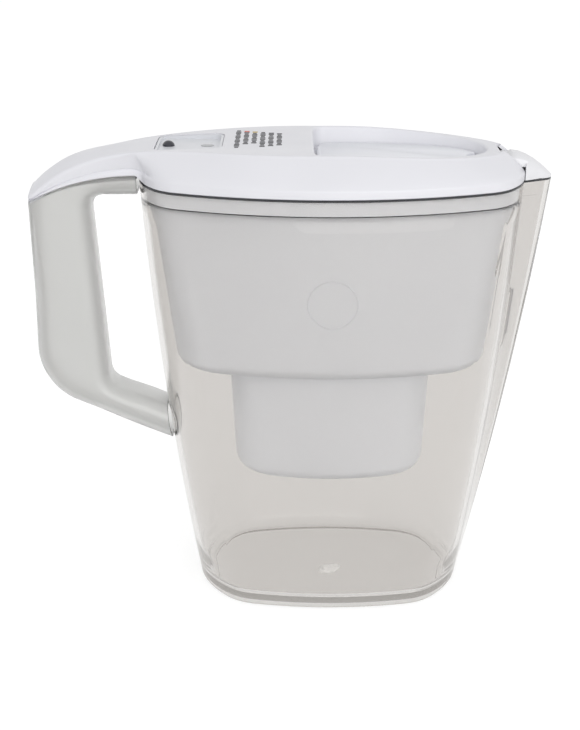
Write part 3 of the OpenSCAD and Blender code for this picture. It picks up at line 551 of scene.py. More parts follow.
def half_width_at(z):
    return bowed(BASE_WIDTH, RIM_WIDTH, WIDTH_BOW, rise_share(z))


def reach_at(z):
    return mix(SPOUT_REACH_BASE, SPOUT_REACH, max(0.0, rise_share(z)) ** SPOUT_FLARE)


def jug_ring(z, inset, spout_inset):
    a = half_length_at(z)
    return at_height(jug_outline(a, half_width_at(z), a + reach_at(z), inset, spout_inset), z)


def foot_ring(z, inset, shrink):
    tip = BASE_LENGTH + SPOUT_REACH_BASE
    return at_height(jug_outline(BASE_LENGTH, BASE_WIDTH, tip, inset, inset, shrink), z)


def rounding(steps):
    """Drop and reach at even steps of a quarter turn, from its flat end to its upright end."""
    for a in np.radians(np.linspace(90, 0, steps + 1)):
        yield 1 - math.sin(a), 1 - math.cos(a)


# Painted shade lines on the jug's rim edge and ledge: how far down they reach, and where the ledge
# gives way to the spout
SHADE_LINE_DEPTH = 0.6
LEDGE_END = RIM_LENGTH - 5


def paint_edge_shade(obj):
    """Add the near-black painted-shade material to a piece, and give its faces with the x and z of
    their centres.
    """
    obj.data.materials.append(EDGE_SHADE_PAINT)
    for face in obj.data.polygons:
        yield face, face.center.x / MM, face.center.z / MM


def make_jug():
    inner_low = FLOOR_HEIGHT + INNER_ROUND
    rings = [
        foot_ring(FOOT_HOLLOW, 0, FOOT_REACH + 0.8),
        foot_ring(0.3, 0, FOOT_REACH + 0.15),
        foot_ring(0, 0, FOOT_REACH - 0.2),
    ]
    rings += [foot_ring(FOOT_ROUND * d, 0, FOOT_ROUND * r) for d, r in rounding(8)]
    levels = np.linspace(FOOT_ROUND, JUG_HEIGHT - 0.8, WALL_LEVELS + 1)[1:]
    rings += [jug_ring(z, 0, 0) for z in levels]
    rings += [
        jug_ring(JUG_HEIGHT - RIM_EDGE, 0, 0),
        jug_ring(JUG_HEIGHT, RIM_EDGE, RIM_EDGE),
        jug_ring(JUG_HEIGHT, RIM_WALL - RIM_EDGE_INNER, JUG_WALL - RIM_EDGE_INNER),
        jug_ring(JUG_HEIGHT - RIM_EDGE_INNER, RIM_WALL, JUG_WALL),
        jug_ring(LEDGE_HEIGHT, RIM_WALL, JUG_WALL),
        jug_ring(LEDGE_HEIGHT, LEDGE_INSET - 0.4, JUG_WALL),
        jug_ring(LEDGE_HEIGHT - 0.7, LEDGE_INSET, JUG_WALL),
    ]
    levels = np.linspace(LEDGE_HEIGHT - 3.5, inner_low, WALL_LEVELS + 1)[:-1]
    rings += [jug_ring(z, JUG_WALL, JUG_WALL) for z in levels]
    rings += [
        foot_ring(inner_low - INNER_ROUND * (1 - d), JUG_WALL, INNER_ROUND * r)
        for d, r in reversed(list(rounding(9)))
    ]
    shape = Shape().loft(rings)
    obj = shape.make("jug_shell")
    finish_piece(obj, "jug", JUG_CLEAR, ["jug_body"], angle=40)
    # The rim's top edge and the ledge take the painted shade, standing for the dark lines that
    # shade draws there
    for face, x, z in paint_edge_shade(obj):
        on_ledge = LEDGE_HEIGHT - SHADE_LINE_DEPTH < z < LEDGE_HEIGHT + 0.05 and x < LEDGE_END
        face.material_index = int(z > JUG_HEIGHT - SHADE_LINE_DEPTH or on_ledge)


# Handle: side view of the finger hole and of the outside, point by point together
RIM_END = -RIM_LENGTH
GRIP_OUTER = RIM_END - HANDLE_REACH
GRIP_LOW = LOWER_ARM_HEIGHT + 11.8
GRIP_WIDTH_TOP, GRIP_WIDTH_LOW = 30.2, 37.0
HOLE_ROUND = 9.5
OUTER_ROUND = 33.0
COVERED = 7
COVERED_ROUND = 1.2
ROUND_GROWTH = 3.5
GRIP_ROUND = 10.0
LEAST_ROUND = 0.3
MOST_ROUND_SHARE = 0.48
OUTER_SLOPE_SHARE = 0.78
OUTER_CORNER_REACH = 1.4
SHOULDER_DROP = 12
FINE = 4
TAIL_HEIGHT = JUG_HEIGHT + 3.5
TAIL_FALL = 12.5


def tail_low(x):
    """Lower edge of the lid's tail, which is also the upper edge of the handle."""
    run = np.maximum(0.0, (RIM_END + 2 - np.asarray(x, float)) / HANDLE_REACH)
    return TAIL_HEIGHT - TAIL_FALL * run**2.2


def fillet(p0, p1, p2, r, n):
    """Points of an arc that rounds the corner p1 between two straight runs."""
    p0, p1, p2 = (np.array(p, float) for p in (p0, p1, p2))
    u = (p0 - p1) / np.linalg.norm(p0 - p1)
    w = (p2 - p1) / np.linalg.norm(p2 - p1)
    half = math.acos(float(u @ w)) / 2
    c = p1 + (u + w) / np.linalg.norm(u + w) * r / math.sin(half)
    s, e = p1 + u * r / math.tan(half) - c, p1 + w * r / math.tan(half) - c
    a0 = math.degrees(math.atan2(s[1], s[0]))
    turn = (math.degrees(math.atan2(e[1], e[0])) - a0 + 180) % 360 - 180
    return arc(c[0], c[1], r, np.linspace(a0, a0 + turn, n + 1))


def between(p, q, n):
    """n points between p and q, without either of them."""
    t = np.linspace(0, 1, n + 2)[1:-1, None]
    return np.asarray(p, float) * (1 - t) + np.asarray(q, float) * t


def handle_sides():
    """Points along the finger hole and along the outside, as many of each, from top to bottom."""
    outer_low = LOWER_ARM_HEIGHT - LOWER_ARM_DEPTH
    slope = (GRIP_LOW - outer_low) / HANDLE_REACH * OUTER_SLOPE_SHARE
    start = [RIM_END - PART_GAP, UPPER_ARM_HEIGHT]
    top = [GRIP_OUTER + GRIP_WIDTH_TOP, UPPER_ARM_HEIGHT]
    low = [GRIP_OUTER + GRIP_WIDTH_LOW, GRIP_LOW]
    end = [-half_length_at(LOWER_ARM_HEIGHT) - PART_GAP, LOWER_ARM_HEIGHT]
    run = HANDLE_REACH + RIM_LENGTH - half_length_at(outer_low)
    corner = [GRIP_OUTER - OUTER_CORNER_REACH, outer_low + run * slope]
    outer_end = [-half_length_at(outer_low) - PART_GAP, outer_low]
    arc_top = fillet(start, top, low, HOLE_ROUND, 5 * FINE)
    arc_low = fillet(top, low, end, HOLE_ROUND, 5 * FINE)
    hole = [[start], between(start, arc_top[0], 2 * FINE - 1), arc_top]
    hole += [between(arc_top[-1], arc_low[0], 4 * FINE - 1), arc_low]
    hole += [between(arc_low[-1], end, 2 * FINE - 1), [end]]
    shares = [0, 0.16, 0.36, 0.56, 0.74, 0.88, 0.965, 1]
    t = np.interp(np.arange(7 * FINE + 1) / FINE, range(8), shares)
    x = start[0] + (GRIP_OUTER - start[0]) * t
    tail = np.column_stack([x, tail_low(x) - PART_GAP])
    shoulder = [GRIP_OUTER, float(tail_low(GRIP_OUTER)) - SHOULDER_DROP]
    arc_out = fillet(shoulder, corner, outer_end, OUTER_ROUND, 5 * FINE)
    outer = [tail, between(tail[-1], arc_out[0], 4 * FINE - 1), arc_out]
    outer += [between(arc_out[-1], outer_end, 2 * FINE - 1), [outer_end]]
    return np.concatenate(hole), np.concatenate(outer)


def section_corner(w, h, r, a0, mx, my):
    """Quarter arc of radius r in one corner of a section. mx and my are the corner's signs."""
    a = np.radians(a0 + np.linspace(0, 90, 7))
    return np.column_stack([mx * (w / 2 - r) + r * np.cos(a), my * (h - r) + r * np.sin(a)])


def handle_ring(p, q, i, inset):
    """Rounded section between a hole point p and an outer point q."""
    length = np.linalg.norm(q - p)
    d, m, w, h = (q - p) / length, (p + q) / 2, length - 2 * inset, HANDLE_HALF_DEPTH - inset
    most = w * MOST_ROUND_SHARE
    inner = min(max(LEAST_ROUND, min(GRIP_ROUND - inset, w - COVERED_ROUND)), most)
    outer = COVERED_ROUND
    if i > COVERED:
        outer = min(GRIP_ROUND, COVERED_ROUND + ROUND_GROWTH * (i - COVERED))
    outer = min(max(LEAST_ROUND, outer - inset), most)
    corners = ((outer, 0, 1, 1), (inner, 90, -1, 1), (inner, 180, -1, -1), (outer, 270, 1, -1))
    flat = np.concatenate([section_corner(w, h, *corner) for corner in corners])
    return np.column_stack([m[0] + d[0] * flat[:, 0], flat[:, 1], m[1] + d[1] * flat[:, 0]])


def make_handle():
    hole, outer = handle_sides()
    count = len(hole)
    rings = [handle_ring(hole[i], outer[i], i / FINE, 0) for i in range(count)]
    rings += [
        handle_ring(hole[i], outer[i], i / FINE, HANDLE_WALL) for i in reversed(range(count))
    ]
    shape = Shape().loft(rings, closed=True)
    obj = shape.make("handle")
    finish_piece(obj, "jug", HANDLE_FROSTED, ["handle_shell"], angle=40)
    # The handle's end faces against the jug take the painted shade of the joins
    for face, x, z in paint_edge_shade(obj):
        at_end = (z > 215 and x > RIM_END - SHADE_LINE_DEPTH) or (z < 105 and x > -90)
        face.material_index = int(at_end and face.normal.x > 0.75)


# Hopper: well, floor, bowl and the flange that rests on the ledge of the jug
def well_ring(z, inset, shrink=0.0):
    t = (HOPPER_FLOOR - z) / WELL_DEPTH * WELL_TAPER + shrink
    return at_height(oval(WELL_LENGTH - t, WELL_WIDTH - t, inset, WELL_RADII), z)


def rim_ring(z, inset):
    return at_height(oval(half_length_at(z), half_width_at(z), inset), z)


def bowl_ring(share, inset):
    """Ring of the bowl at a share of the way from its rounded foot to its top."""
    z = mix(HOPPER_FLOOR + BOWL_ROUND, BOWL_TOP, share)
    a = mix(HOPPER_LENGTH, half_length_at(BOWL_TOP) - HOPPER_GAP, share)
    b = mix(HOPPER_WIDTH, half_width_at(BOWL_TOP) - HOPPER_GAP, share)
    return at_height(oval(a, b, inset), z)


def bowl_foot(drop, reach, inset, r):
    z = HOPPER_FLOOR + BOWL_ROUND - r * (1 - drop)
    return at_height(oval(HOPPER_LENGTH - r * reach, HOPPER_WIDTH - r * reach, inset), z)


def make_hopper():
    foot = BOWL_ROUND - HOPPER_WALL
    inner_low = WELL_LOW + HOPPER_WALL
    flange = LEDGE_HEIGHT + SEAT_GAP
    top = JUG_HEIGHT - SEAT_GAP
    collar = COLLAR_INSET + FLANGE_WALL
    turns = list(rounding(7))
    rings = [well_ring(WELL_LOW + WELL_ROUND * d, 0, WELL_ROUND * r) for d, r in turns]
    rings += [well_ring(z, 0) for z in np.linspace(WELL_LOW + WELL_ROUND, HOPPER_FLOOR, 6)[1:]]
    rings += [bowl_foot(d, r, 0, BOWL_ROUND) for d, r in turns]
    rings += [bowl_ring(t, 0) for t in np.linspace(0, 1, 12)[1:]]
    rings += [
        rim_ring(flange, HOPPER_GAP),
        rim_ring(flange, COLLAR_INSET),
        rim_ring(top - COLLAR_EDGE, COLLAR_INSET),
        rim_ring(top, COLLAR_INSET + COLLAR_EDGE),
        rim_ring(top, collar - COLLAR_EDGE),
        rim_ring(top - COLLAR_EDGE, collar),
        rim_ring(flange + FLANGE_WALL, collar),
        rim_ring(flange + FLANGE_WALL, HOPPER_GAP + HOPPER_WALL),
    ]
    rings += [bowl_ring(t, HOPPER_WALL) for t in np.linspace(1, 0, 12)[:-1]]
    rings += [bowl_foot(d, r, HOPPER_WALL, foot) for d, r in reversed(turns)]
    rings += [at_height(well_ring(HOPPER_FLOOR, HOPPER_WALL)[:, :2], HOPPER_FLOOR + HOPPER_WALL)]
    rings += [
        well_ring(inner_low + foot * d, HOPPER_WALL, foot * r) for d, r in reversed(turns)
    ]
    shape = Shape().loft(rings)
    obj = shape.make("hopper_bowl")
    slots = Shape()
    for i in range(-SLOTS_PER_SIDE, SLOTS_PER_SIDE + 1):
        x0, x1 = i * SLOT_PITCH - SLOT_HALF, i * SLOT_PITCH + SLOT_HALF
        slots.block(x0, x1, -SLOT_REACH, SLOT_REACH, WELL_LOW - 1, inner_low + 1)
    cutter = slots.make("hopper_slots")
    finish_piece(obj, "hopper", HOPPER_MILKY, ["hopper"], angle=40, cutter=cutter)


# Lid: flat top with a ridge around it, and flanks down to the shoulder over the rim
LID_LOW = JUG_HEIGHT + PART_GAP
SHOULDER = JUG_HEIGHT + 5.0
TOP_HEIGHT = JUG_HEIGHT + 18.8
TOP_CENTRE = 10.0
TOP_FRONT = RIM_LENGTH - TOP_CENTRE - 9
TOP_WIDTH = 39.5
TAIL_WIDTH = HANDLE_HALF_DEPTH + 0.3
TAIL_DROP = 27.7
NOSE_DROP = 3.9
TAIL_END = GRIP_OUTER - 0.3
TAIL_ARCH = 4.6
LID_WALL = 1.7
LID_SKIRT = 4.2
SKIRT_OUTSET = COLLAR_INSET + FLANGE_WALL + PART_GAP
SKIRT_WALL = 1.5
RECESS_FRONT, RECESS_REAR, RECESS_WIDTH, RECESS_DEPTH = 69.5, 19.5, 37.3, 8.4
RECESS_LOW_FRONT = RECESS_FRONT - 1
RECESS_LOW_REAR = RECESS_REAR - 0.3
RECESS_LOW_WIDTH = RECESS_WIDTH - 1.1
LOBE_POWER = 2.15
RECESS_REAR_POWER = 8
FLAP_REAR_POWER = 4.5
LIP = 1.6
FLAP_THICKNESS = 2.4
FLAP_GAP = 0.6
FLAP_TOP = TOP_HEIGHT - RECESS_DEPTH
FLAP_LEDGE = FLAP_TOP - FLAP_THICKNESS - SEAT_GAP
CASE_PLACE, CASE_LENGTH, CASE_WIDTH, CASE_ROUND = -73.0, 34.0, 38.0, 5.0
FACE_TOP = TOP_HEIGHT - 2.9
CASE_LOW = FACE_TOP - 10.6
HINGE_X = TOP_CENTRE - RECESS_REAR + 3.4
BARREL = 1.5
HINGE_Z = FLAP_TOP - BARREL
PIN = 1.1
SPOUT_HINGE_X = RIM_LENGTH - 10
SPOUT_HINGE_Z = JUG_HEIGHT + 8.4
NECK_WIDTH = 9.6
ROOT = 3.4
NOTCH_WIDTH = NECK_WIDTH + 0.5
NOTCH_X = SPOUT_HINGE_X - ROOT - 0.8
EAR, EAR_WALL = 2.2, 2.8
RIDGE_ROUND = 1.6
PLATEAU_LOW = 236.0
CASE_GAP = 0.35

# Tail of the lid in plan, from the bend off the rim to its rounded end
TAIL_BEND = -95.6
TAIL_START = -105
TAIL_ROUND = 3.5
TAIL_ROUND_X = -152.5

# Top of the lid: where it falls to the tail and to the nose, and where it widens from the tail
TAIL_FALL_START, TAIL_FALL_POWER = -2, 5.3
NOSE_FALL_START, NOSE_FALL_RUN = 2, 92
WIDEN_START, WIDEN_RUN = -124, 106


def top_at(x):
    x = np.asarray(x, float)
    run = (TAIL_FALL_START - x) / (TAIL_FALL_START - GRIP_OUTER)
    fall = TAIL_DROP * np.maximum(0.0, run) ** TAIL_FALL_POWER
    return TOP_HEIGHT - fall - NOSE_DROP * smooth((x - NOSE_FALL_START) / NOSE_FALL_RUN)


def top_half(x):
    return mix(TAIL_WIDTH, TOP_WIDTH, smooth((np.asarray(x, float) - WIDEN_START) / WIDEN_RUN))


def lobe(a, b, power):
    """Quarter of a superellipse, from its end on X to its side on Y."""
    t = np.radians(np.linspace(0, 90, END_STEPS + CORNER_STEPS + SIDE_STEPS + 1))
    c, s = np.clip(np.cos(t), 0, 1), np.clip(np.sin(t), 0, 1)
    return np.column_stack([a * c ** (2 / power), b * s ** (2 / power)])


def panel(front, rear, b, front_power, rear_power):
    """Closed outline about the lid's centre, of a front lobe and a squarer rear one."""
    rear_half = mirror_x(lobe(rear, b, rear_power))[::-1][1:]
    half = np.concatenate([lobe(front, b, front_power), rear_half])
    return close_outline(half) + np.array([TOP_CENTRE, 0])


def recess_top(grow):
    front, rear, width = RECESS_FRONT + grow, RECESS_REAR + grow, RECESS_WIDTH + grow * 0.75
    return panel(front, rear, width, LOBE_POWER, RECESS_REAR_POWER)


def recess_low(grow):
    front, rear, width = RECESS_LOW_FRONT + grow, RECESS_LOW_REAR + grow, RECESS_LOW_WIDTH + grow
    return panel(front, rear, width, LOBE_POWER, RECESS_REAR_POWER)


def rounded_bar(x, length, width, r, steps=10):
    corners = [(1, 1, 0), (-1, 1, 90), (-1, -1, 180), (1, -1, 270)]
    arcs = []
    for sx, sy, a in corners:
        cx, cy = x + sx * (length / 2 - r), sy * (width / 2 - r)
        arcs.append(arc(cx, cy, r, np.linspace(a, a + 90, steps + 1)))
    return np.concatenate(arcs)


def lid_lines():
    """Foot line and ridge line of the lid, both closed, with one point of each per column."""
    front = quarter(RIM_LENGTH, RIM_WIDTH, PLAN_RADII)
    rear = mirror_x(front)[::-1][1:]
    rear = rear[rear[:, 0] > TAIL_BEND]
    tail_x = np.concatenate([np.arange(TAIL_START, -151, -4.0), [TAIL_ROUND_X]])
    tail = np.column_stack([tail_x, np.full(len(tail_x), TAIL_WIDTH)])
    turn = fillet([TAIL_BEND, 19.6], [-97.2, TAIL_WIDTH], [-108, TAIL_WIDTH], 5, 8)
    flat_half = TAIL_WIDTH - TAIL_ROUND
    end = arc(TAIL_ROUND_X, flat_half, TAIL_ROUND, np.linspace(90, 180, 9))[1:]
    last = np.column_stack([np.full(4, TAIL_END), np.linspace(flat_half, 0, 5)[1:]])
    foot = np.concatenate([front, rear, turn, tail, end, last])
    x = foot[:, 0]
    ridge_x = x + mix(10, -4, smooth(-x / 40)) * (1 - smooth((-100 - x) / 25))
    ridge = np.column_stack([ridge_x, top_half(ridge_x)])
    past = x < TAIL_ROUND_X + 0.1
    ridge[past] = foot[past]
    ridge[: len(front)] = lobe(TOP_FRONT, TOP_WIDTH, LOBE_POWER) + np.array([TOP_CENTRE, 0])
    return close_outline(foot), close_outline(ridge)


def lid_top(points):
    """Height of the flat top, with the arch across the tail."""
    x, y = points[:, 0], np.abs(points[:, 1])
    base = np.maximum(top_at(x), tail_low(x) + 1.9)
    arch = 0.3 * smooth((-85 - x) / 12) + TAIL_ARCH * smooth((RIM_END + 3 - x) / 45)
    near = np.clip((x - TAIL_END) / 3.6, 0, 1)
    ease = 0.25 + 0.75 * np.sqrt(1 - (1 - near) ** 2)
    return base + arch * np.maximum(0, 1 - (y / top_half(x)) ** 2.1) * ease


def lid_rings(foot, ridge, inner):
    """Rings of the lid's flank, from under the foot line up and over the ridge.

    weight is 0 on the body of the lid and 1 on its tail, and each ring blends between the two.
    """
    x = foot[:, 0]
    weight = smooth((-94 - x) / 12)
    low = mix(LID_LOW, tail_low(x), smooth((-96 - x) / 5))
    crest = lid_top(inner)
    side_top = lid_top(ridge) - mix(0.5, 1.25, weight)
    rise = side_top - low
    rings = []

    shoulder = [(-1, 0, 0.2), (-0.4, 0.1, 0.25), (0, 0.35, 0.3), (0.7, 0.9, 0.36)]
    levels = [(low, 2.4, 0), (low, 0.35, 0), (low + 0.35, 0, 0.04)]
    levels += [(SHOULDER + d, inset, tail_share) for d, inset, tail_share in shoulder]
    for body_z, inset, tail_share in levels:
        z = mix(body_z, low + rise * tail_share, weight)
        rings.append(at_height(inset_loop(foot, inset), z))
    start = rings[-1]
    for t in np.linspace(0, 1, 13)[1:]:
        share = mix(t, t**0.6, weight)[:, None]
        plan = start[:, :2] * (1 - share) + ridge * share
        z = mix(start[:, 2], side_top, mix(t**0.88, t, weight))
        rings.append(at_height(plan, z))
    for a in np.radians([22, 45, 68, 90]):
        plan = ridge + (inner - ridge) * (1 - math.cos(a))
        rings.append(at_height(plan, side_top + (crest - side_top) * math.sin(a)))
    return rings


def cut_notch(bm):
    """Open the front of the lid's skin for the root of the spout flap."""
    sides = (((0, NOTCH_WIDTH), (0, 1)), ((0, -NOTCH_WIDTH), (0, 1)), ((NOTCH_X, 0), (1, 0)))
    for place, normal in sides:
        parts = bm.verts[:] + bm.edges[:] + bm.faces[:]
        co, no = (place[0] * MM, place[1] * MM, 0), (*normal, 0)
        bmesh.ops.bisect_plane(bm, geom=parts, dist=1e-7, plane_co=co, plane_no=no)
    gone = []
    for face in bm.faces:
        middle = face.calc_center_median() / MM
        if middle.x > NOTCH_X and abs(middle.y) < NOTCH_WIDTH:
            gone.append(face)
    bmesh.ops.delete(bm, geom=gone, context="FACES")


def make_lid_top():
    """Skin of the lid, thickened inwards, with its recess, its well for the case and its notch."""
    foot, ridge = lid_lines()
    inner = inset_loop(ridge, RIDGE_ROUND)
    shape = Shape().loft(lid_rings(foot, ridge, inner), caps=False)
    lip = recess_top(LIP)
    case_length, case_width = CASE_LENGTH + 2 * CASE_GAP, CASE_WIDTH + 2 * CASE_GAP
    case = rounded_bar(CASE_PLACE, case_length, case_width, CASE_ROUND + CASE_GAP)
    shape.sheet(inner, lid_top, 3.5, holes=[lip, case])
    walls = [at_height(lip, lid_top(lip))]
    for grow, drop in ((0.8, 0.14), (0.25, 0.5), (0, 1.1)):
        walls.append(at_height(recess_top(grow), lid_top(lip) - drop))
    opening = panel(RECESS_FRONT - 11.5, RECESS_REAR - 0.9, RECESS_WIDTH - 6, 2.3, 4)
    walls += [
        at_height(recess_low(0.12), FLAP_LEDGE + 0.8),
        at_height(recess_low(-0.1), FLAP_LEDGE + 0.2),
        at_height(recess_low(-0.5), FLAP_LEDGE),
        at_height(opening, FLAP_LEDGE),
    ]
    shape.loft(walls, caps=False)
    shape.loft([at_height(case, lid_top(case)), at_height(case, CASE_LOW + 3)], caps=False)
    obj = shape.make("lid_top")
    bm = bmesh.new()
    bm.from_mesh(obj.data)
    bmesh.ops.remove_doubles(bm, verts=bm.verts, dist=2e-5)
    bmesh.ops.recalc_face_normals(bm, faces=bm.faces)
    upper = [f for f in bm.faces if f.calc_center_median().z > PLATEAU_LOW * MM]
    if sum(f.normal.z * f.calc_area() for f in upper) < 0:
        bmesh.ops.reverse_faces(bm, faces=bm.faces)
    cut_notch(bm)
    bm.to_mesh(obj.data)
    bm.free()
    thick = obj.modifiers.new("wall", "SOLIDIFY")
    thick.thickness = LID_WALL * MM
    thick.offset = -1
    apply_modifiers(obj)
    finish_piece(obj, "lid", LID_WHITE, ["lid_shell"], angle=38, weld=False)


def make_lid_skirt():
    """Skirt inside the hopper's collar, open at the notch, with the ears for the spout flap."""
    skirt = Shape()
    outer, inner = [oval(RIM_LENGTH, RIM_WIDTH, SKIRT_OUTSET + d) for d in (0, SKIRT_WALL)]
    in_notch = (outer[:, 0] > 0) & (np.abs(outer[:, 1]) < NOTCH_WIDTH)
    keep = [k for k in range(len(outer)) if not in_notch[k]]
    low = LID_LOW - LID_SKIRT
    profile = [
        (outer, LID_LOW + 1),
        (outer, low + 0.3),
        ((outer + inner) / 2, low),
        (inner, low + 0.3),
        (inner, SHOULDER + 2),
        (outer * 0.4 + inner * 0.6, SHOULDER + 2),
    ]
    rings = [at_height(loop[keep], z) for loop, z in profile]
    sections = [np.array([ring[k] for ring in rings]) for k in range(len(keep))]
    skirt.loft(sections)
    for side in (-1, 1):
        y0, y1 = sorted((side * NOTCH_WIDTH, side * (NOTCH_WIDTH + EAR_WALL)))
        skirt.rod(SPOUT_HINGE_X, SPOUT_HINGE_Z, EAR, y0, y1)
    finish_piece(skirt.make("lid_skirt"), "lid", LID_WHITE, angle=35)


# Finger scoop in the front edge of the fill flap, and the half lengths of its barrel and pin
SCOOP_ROUND = 12.0
SCOOP_DEPTH = 8
BARREL_HALF, PIN_HALF = 25, 27.8


def flap_loop():
    """Outline of the fill flap, straight at the hinge and with the finger scoop at the front."""
    front, rear = RECESS_LOW_FRONT - FLAP_GAP, RECESS_LOW_REAR - FLAP_GAP
    edge = panel(front, rear, RECESS_LOW_WIDTH - FLAP_GAP, LOBE_POWER, FLAP_REAR_POWER)
    centre = TOP_CENTRE + front + SCOOP_ROUND - SCOOP_DEPTH
    scoop = np.hypot(edge[:, 0] - centre, edge[:, 1]) < SCOOP_ROUND
    rest = edge[~scoop]
    order = np.argsort(np.mod(np.arctan2(rest[:, 1], rest[:, 0] - 40), 2 * math.pi))
    rest = rest[order]
    rest[:, 0] = np.maximum(rest[:, 0], HINGE_X)
    first, last = rest[0], rest[-1]
    a0 = math.degrees(math.atan2(last[1], last[0] - centre))
    a1 = math.degrees(math.atan2(first[1], first[0] - centre))
    bite = arc(centre, 0, SCOOP_ROUND, np.linspace(a0 % 360, a1 % 360, 30)[1:-1])
    loop = np.concatenate([rest, bite])
    keep = [k for k in range(len(loop)) if np.linalg.norm(loop[k] - loop[k - 1]) > 0.05]
    return loop[keep]


def make_fill_flap():
    loop = flap_loop()
    low, top = FLAP_TOP - FLAP_THICKNESS, FLAP_TOP
    edges = [(0.4, low), (0, low + 0.4), (0, top - 0.7), (0.2, top - 0.2), (0.7, top)]
    shape = Shape().loft([at_height(inset_loop(loop, inset), z) for inset, z in edges])
    shape.rod(HINGE_X, HINGE_Z, BARREL, -BARREL_HALF, BARREL_HALF)
    shape.rod(HINGE_X, HINGE_Z, PIN, -PIN_HALF, PIN_HALF)
    obj = shape.make("flap_plate")
    finish_piece(obj, "fill_flap", FLAP_WHITE, ["fill_flap"], angle=40)


# Spout flap: sections across X under an arched crown that falls to the nose
NOSE_X = SPOUT_TIP - SPOUT_NOSE
HOOD_START = RIM_LENGTH + 0.5
CROWN_X = SPOUT_HINGE_X + 3
CROWN = JUG_HEIGHT + 13.6
HOOD_WALL = 1.6
HOOD_SHARE, NECK_SHARE = 0.5, 0.62
NECK_DROP = 1.6
RIM_SPACING = 50


def crown_at(x):
    """Height of the arched crown, which rises from the hinge and then falls to the nose."""
    if x < CROWN_X:
        t = (x - SPOUT_HINGE_X) / (CROWN_X - SPOUT_HINGE_X)
        return mix(SPOUT_HINGE_Z + ROOT - 0.2, CROWN, t)
    return mix(CROWN, LID_LOW + 0.9, ((x - CROWN_X) / (SPOUT_TIP - CROWN_X)) ** 1.8)


def hood_half(x):
    if x > NOSE_X:
        return math.sqrt(max(0.0, SPOUT_NOSE**2 - (x - NOSE_X) ** 2))
    t = float(clipped((x - HOOD_START) / (NOSE_X - HOOD_START)))
    return mix(SPOUT_HALF_WIDTH, SPOUT_NOSE, t)


def hood_section(x, half, low, top, share, bend, steps=24):
    """Section with upright sides up to a share of its height and an arch above them.

    bend curves it in plan, up to 1, where it follows the round end of the jug's rim.
    """
    u = np.sin(np.radians(np.linspace(90, -90, steps + 1)))
    edge = mix(low, top, share)
    z = edge + (top - edge) * np.maximum(0.0, 1 - u * u) ** 0.72
    y = u * half
    y = np.concatenate([[half], y, [-half]])
    z = np.concatenate([[low], z, [low]])
    return np.column_stack([x - bend * y * y / (2 * PLAN_RADII[1]), y, z])


def hood_skin(places, wall):
    """Sections of the hood's outside, or of its inside where wall isn't 0."""
    return [
        hood_section(x, hood_half(x) - wall, LID_LOW, crown_at(x) - wall, HOOD_SHARE, bend)
        for x, bend in places
    ]


def make_hood():
    places = [(HOOD_START + d, bend) for d, bend in ((0, 1), (1, 0.8), (2, 0.6), (4.5, 0.2))]
    places += [(NOSE_X + d, 0) for d in (0, 1.6, 3.2, 4.6, 5.6, 6.3, 6.7)]
    places += [(SPOUT_TIP - 0.12, 0)]
    hollow = [(HOOD_START + d, bend) for d, bend in ((HOOD_WALL, 1), (3, 0.6), (5, 0.2))]
    hollow += [(NOSE_X + d, 0) for d in (0, 2.6, 4.4)]
    shape = Shape()
    rims = []
    for skin in (hood_skin(places, 0), hood_skin(hollow, HOOD_WALL)):
        whole = [list(range(len(skin[0])))]
        shape.add(skin[0], whole)
        shape.loft(skin, caps=False, around=False)
        shape.add(skin[-1], whole)
        rims.append(np.array([r[0] for r in skin] + [r[-1] for r in reversed(skin)])[:, :2])
    tris, flat = plan_triangles(rims[0], [rims[1]], RIM_SPACING)
    shape.add(at_height(flat, LID_LOW), tris)
    obj = shape.make("spout_hood")
    finish_piece(obj, "spout_flap", SPOUT_WHITE, ["spout_flap"], angle=40)


def make_neck():
    """Neck that joins the hood to its hinge, with the barrel and the pin."""
    neck = Shape()
    low = SPOUT_HINGE_Z - NECK_DROP
    half = NECK_WIDTH - 0.3
    places = [(SPOUT_HINGE_X, 0), (SPOUT_HINGE_X + 1.5, 0), (CROWN_X, 0)]
    places += [((CROWN_X + HOOD_START) / 2, 0), (HOOD_START + 0.6, 1)]
    neck.loft([hood_section(x, half, low, crown_at(x), NECK_SHARE, bend) for x, bend in places])
    neck.rod(SPOUT_HINGE_X, SPOUT_HINGE_Z, ROOT, -NECK_WIDTH, NECK_WIDTH)
    reach = NOTCH_WIDTH + EAR_WALL - 0.4
    neck.rod(SPOUT_HINGE_X, SPOUT_HINGE_Z, PIN, -reach, reach)
    finish_piece(neck.make("spout_neck"), "spout_flap", SPOUT_WHITE, angle=40)


# Printed marks: place of the first dash, steps between columns and rows, half sizes and depths
MARK_X, MARK_Y = -48.5, 24
COLUMN_STEP, COLUMN_SHIFT, ROW_STEP = 4.3, 1.6, 3.5
DASH_WIDE, DASH_NARROW, DASH_HALF = 1.35, 1.0, 1.2
INK_SUNK, INK_PROUD = 0.05, 0.08


def make_status_marks():
    """Generic printed columns of short dashes beside the indicator, without any words."""
    inks = {"black": Shape(), "red": Shape(), "ochre": Shape()}
    first_inks = {1: "red", 2: "ochre"}
    for k in range(6):
        x = MARK_X + COLUMN_STEP * k
        rows = 13 if k == 0 else 11 - k % 3
        for j in range(rows):
            y = MARK_Y - COLUMN_SHIFT * k - ROW_STEP * j
            name = first_inks.get(k, "black") if j == 0 else "black"
            wide = DASH_WIDE if (j + k) % 3 else DASH_NARROW
            z = float(lid_top(np.array([[x, y]]))[0])
            y0, y1 = y - DASH_HALF, y + DASH_HALF
            inks[name].block(x - wide, x + wide, y0, y1, z - INK_SUNK, z + INK_PROUD)
    for name, material in (("black", INK_BLACK), ("red", INK_RED), ("ochre", INK_OCHRE)):
        finish_piece(inks[name].make("status_marks_" + name), "lid", material)


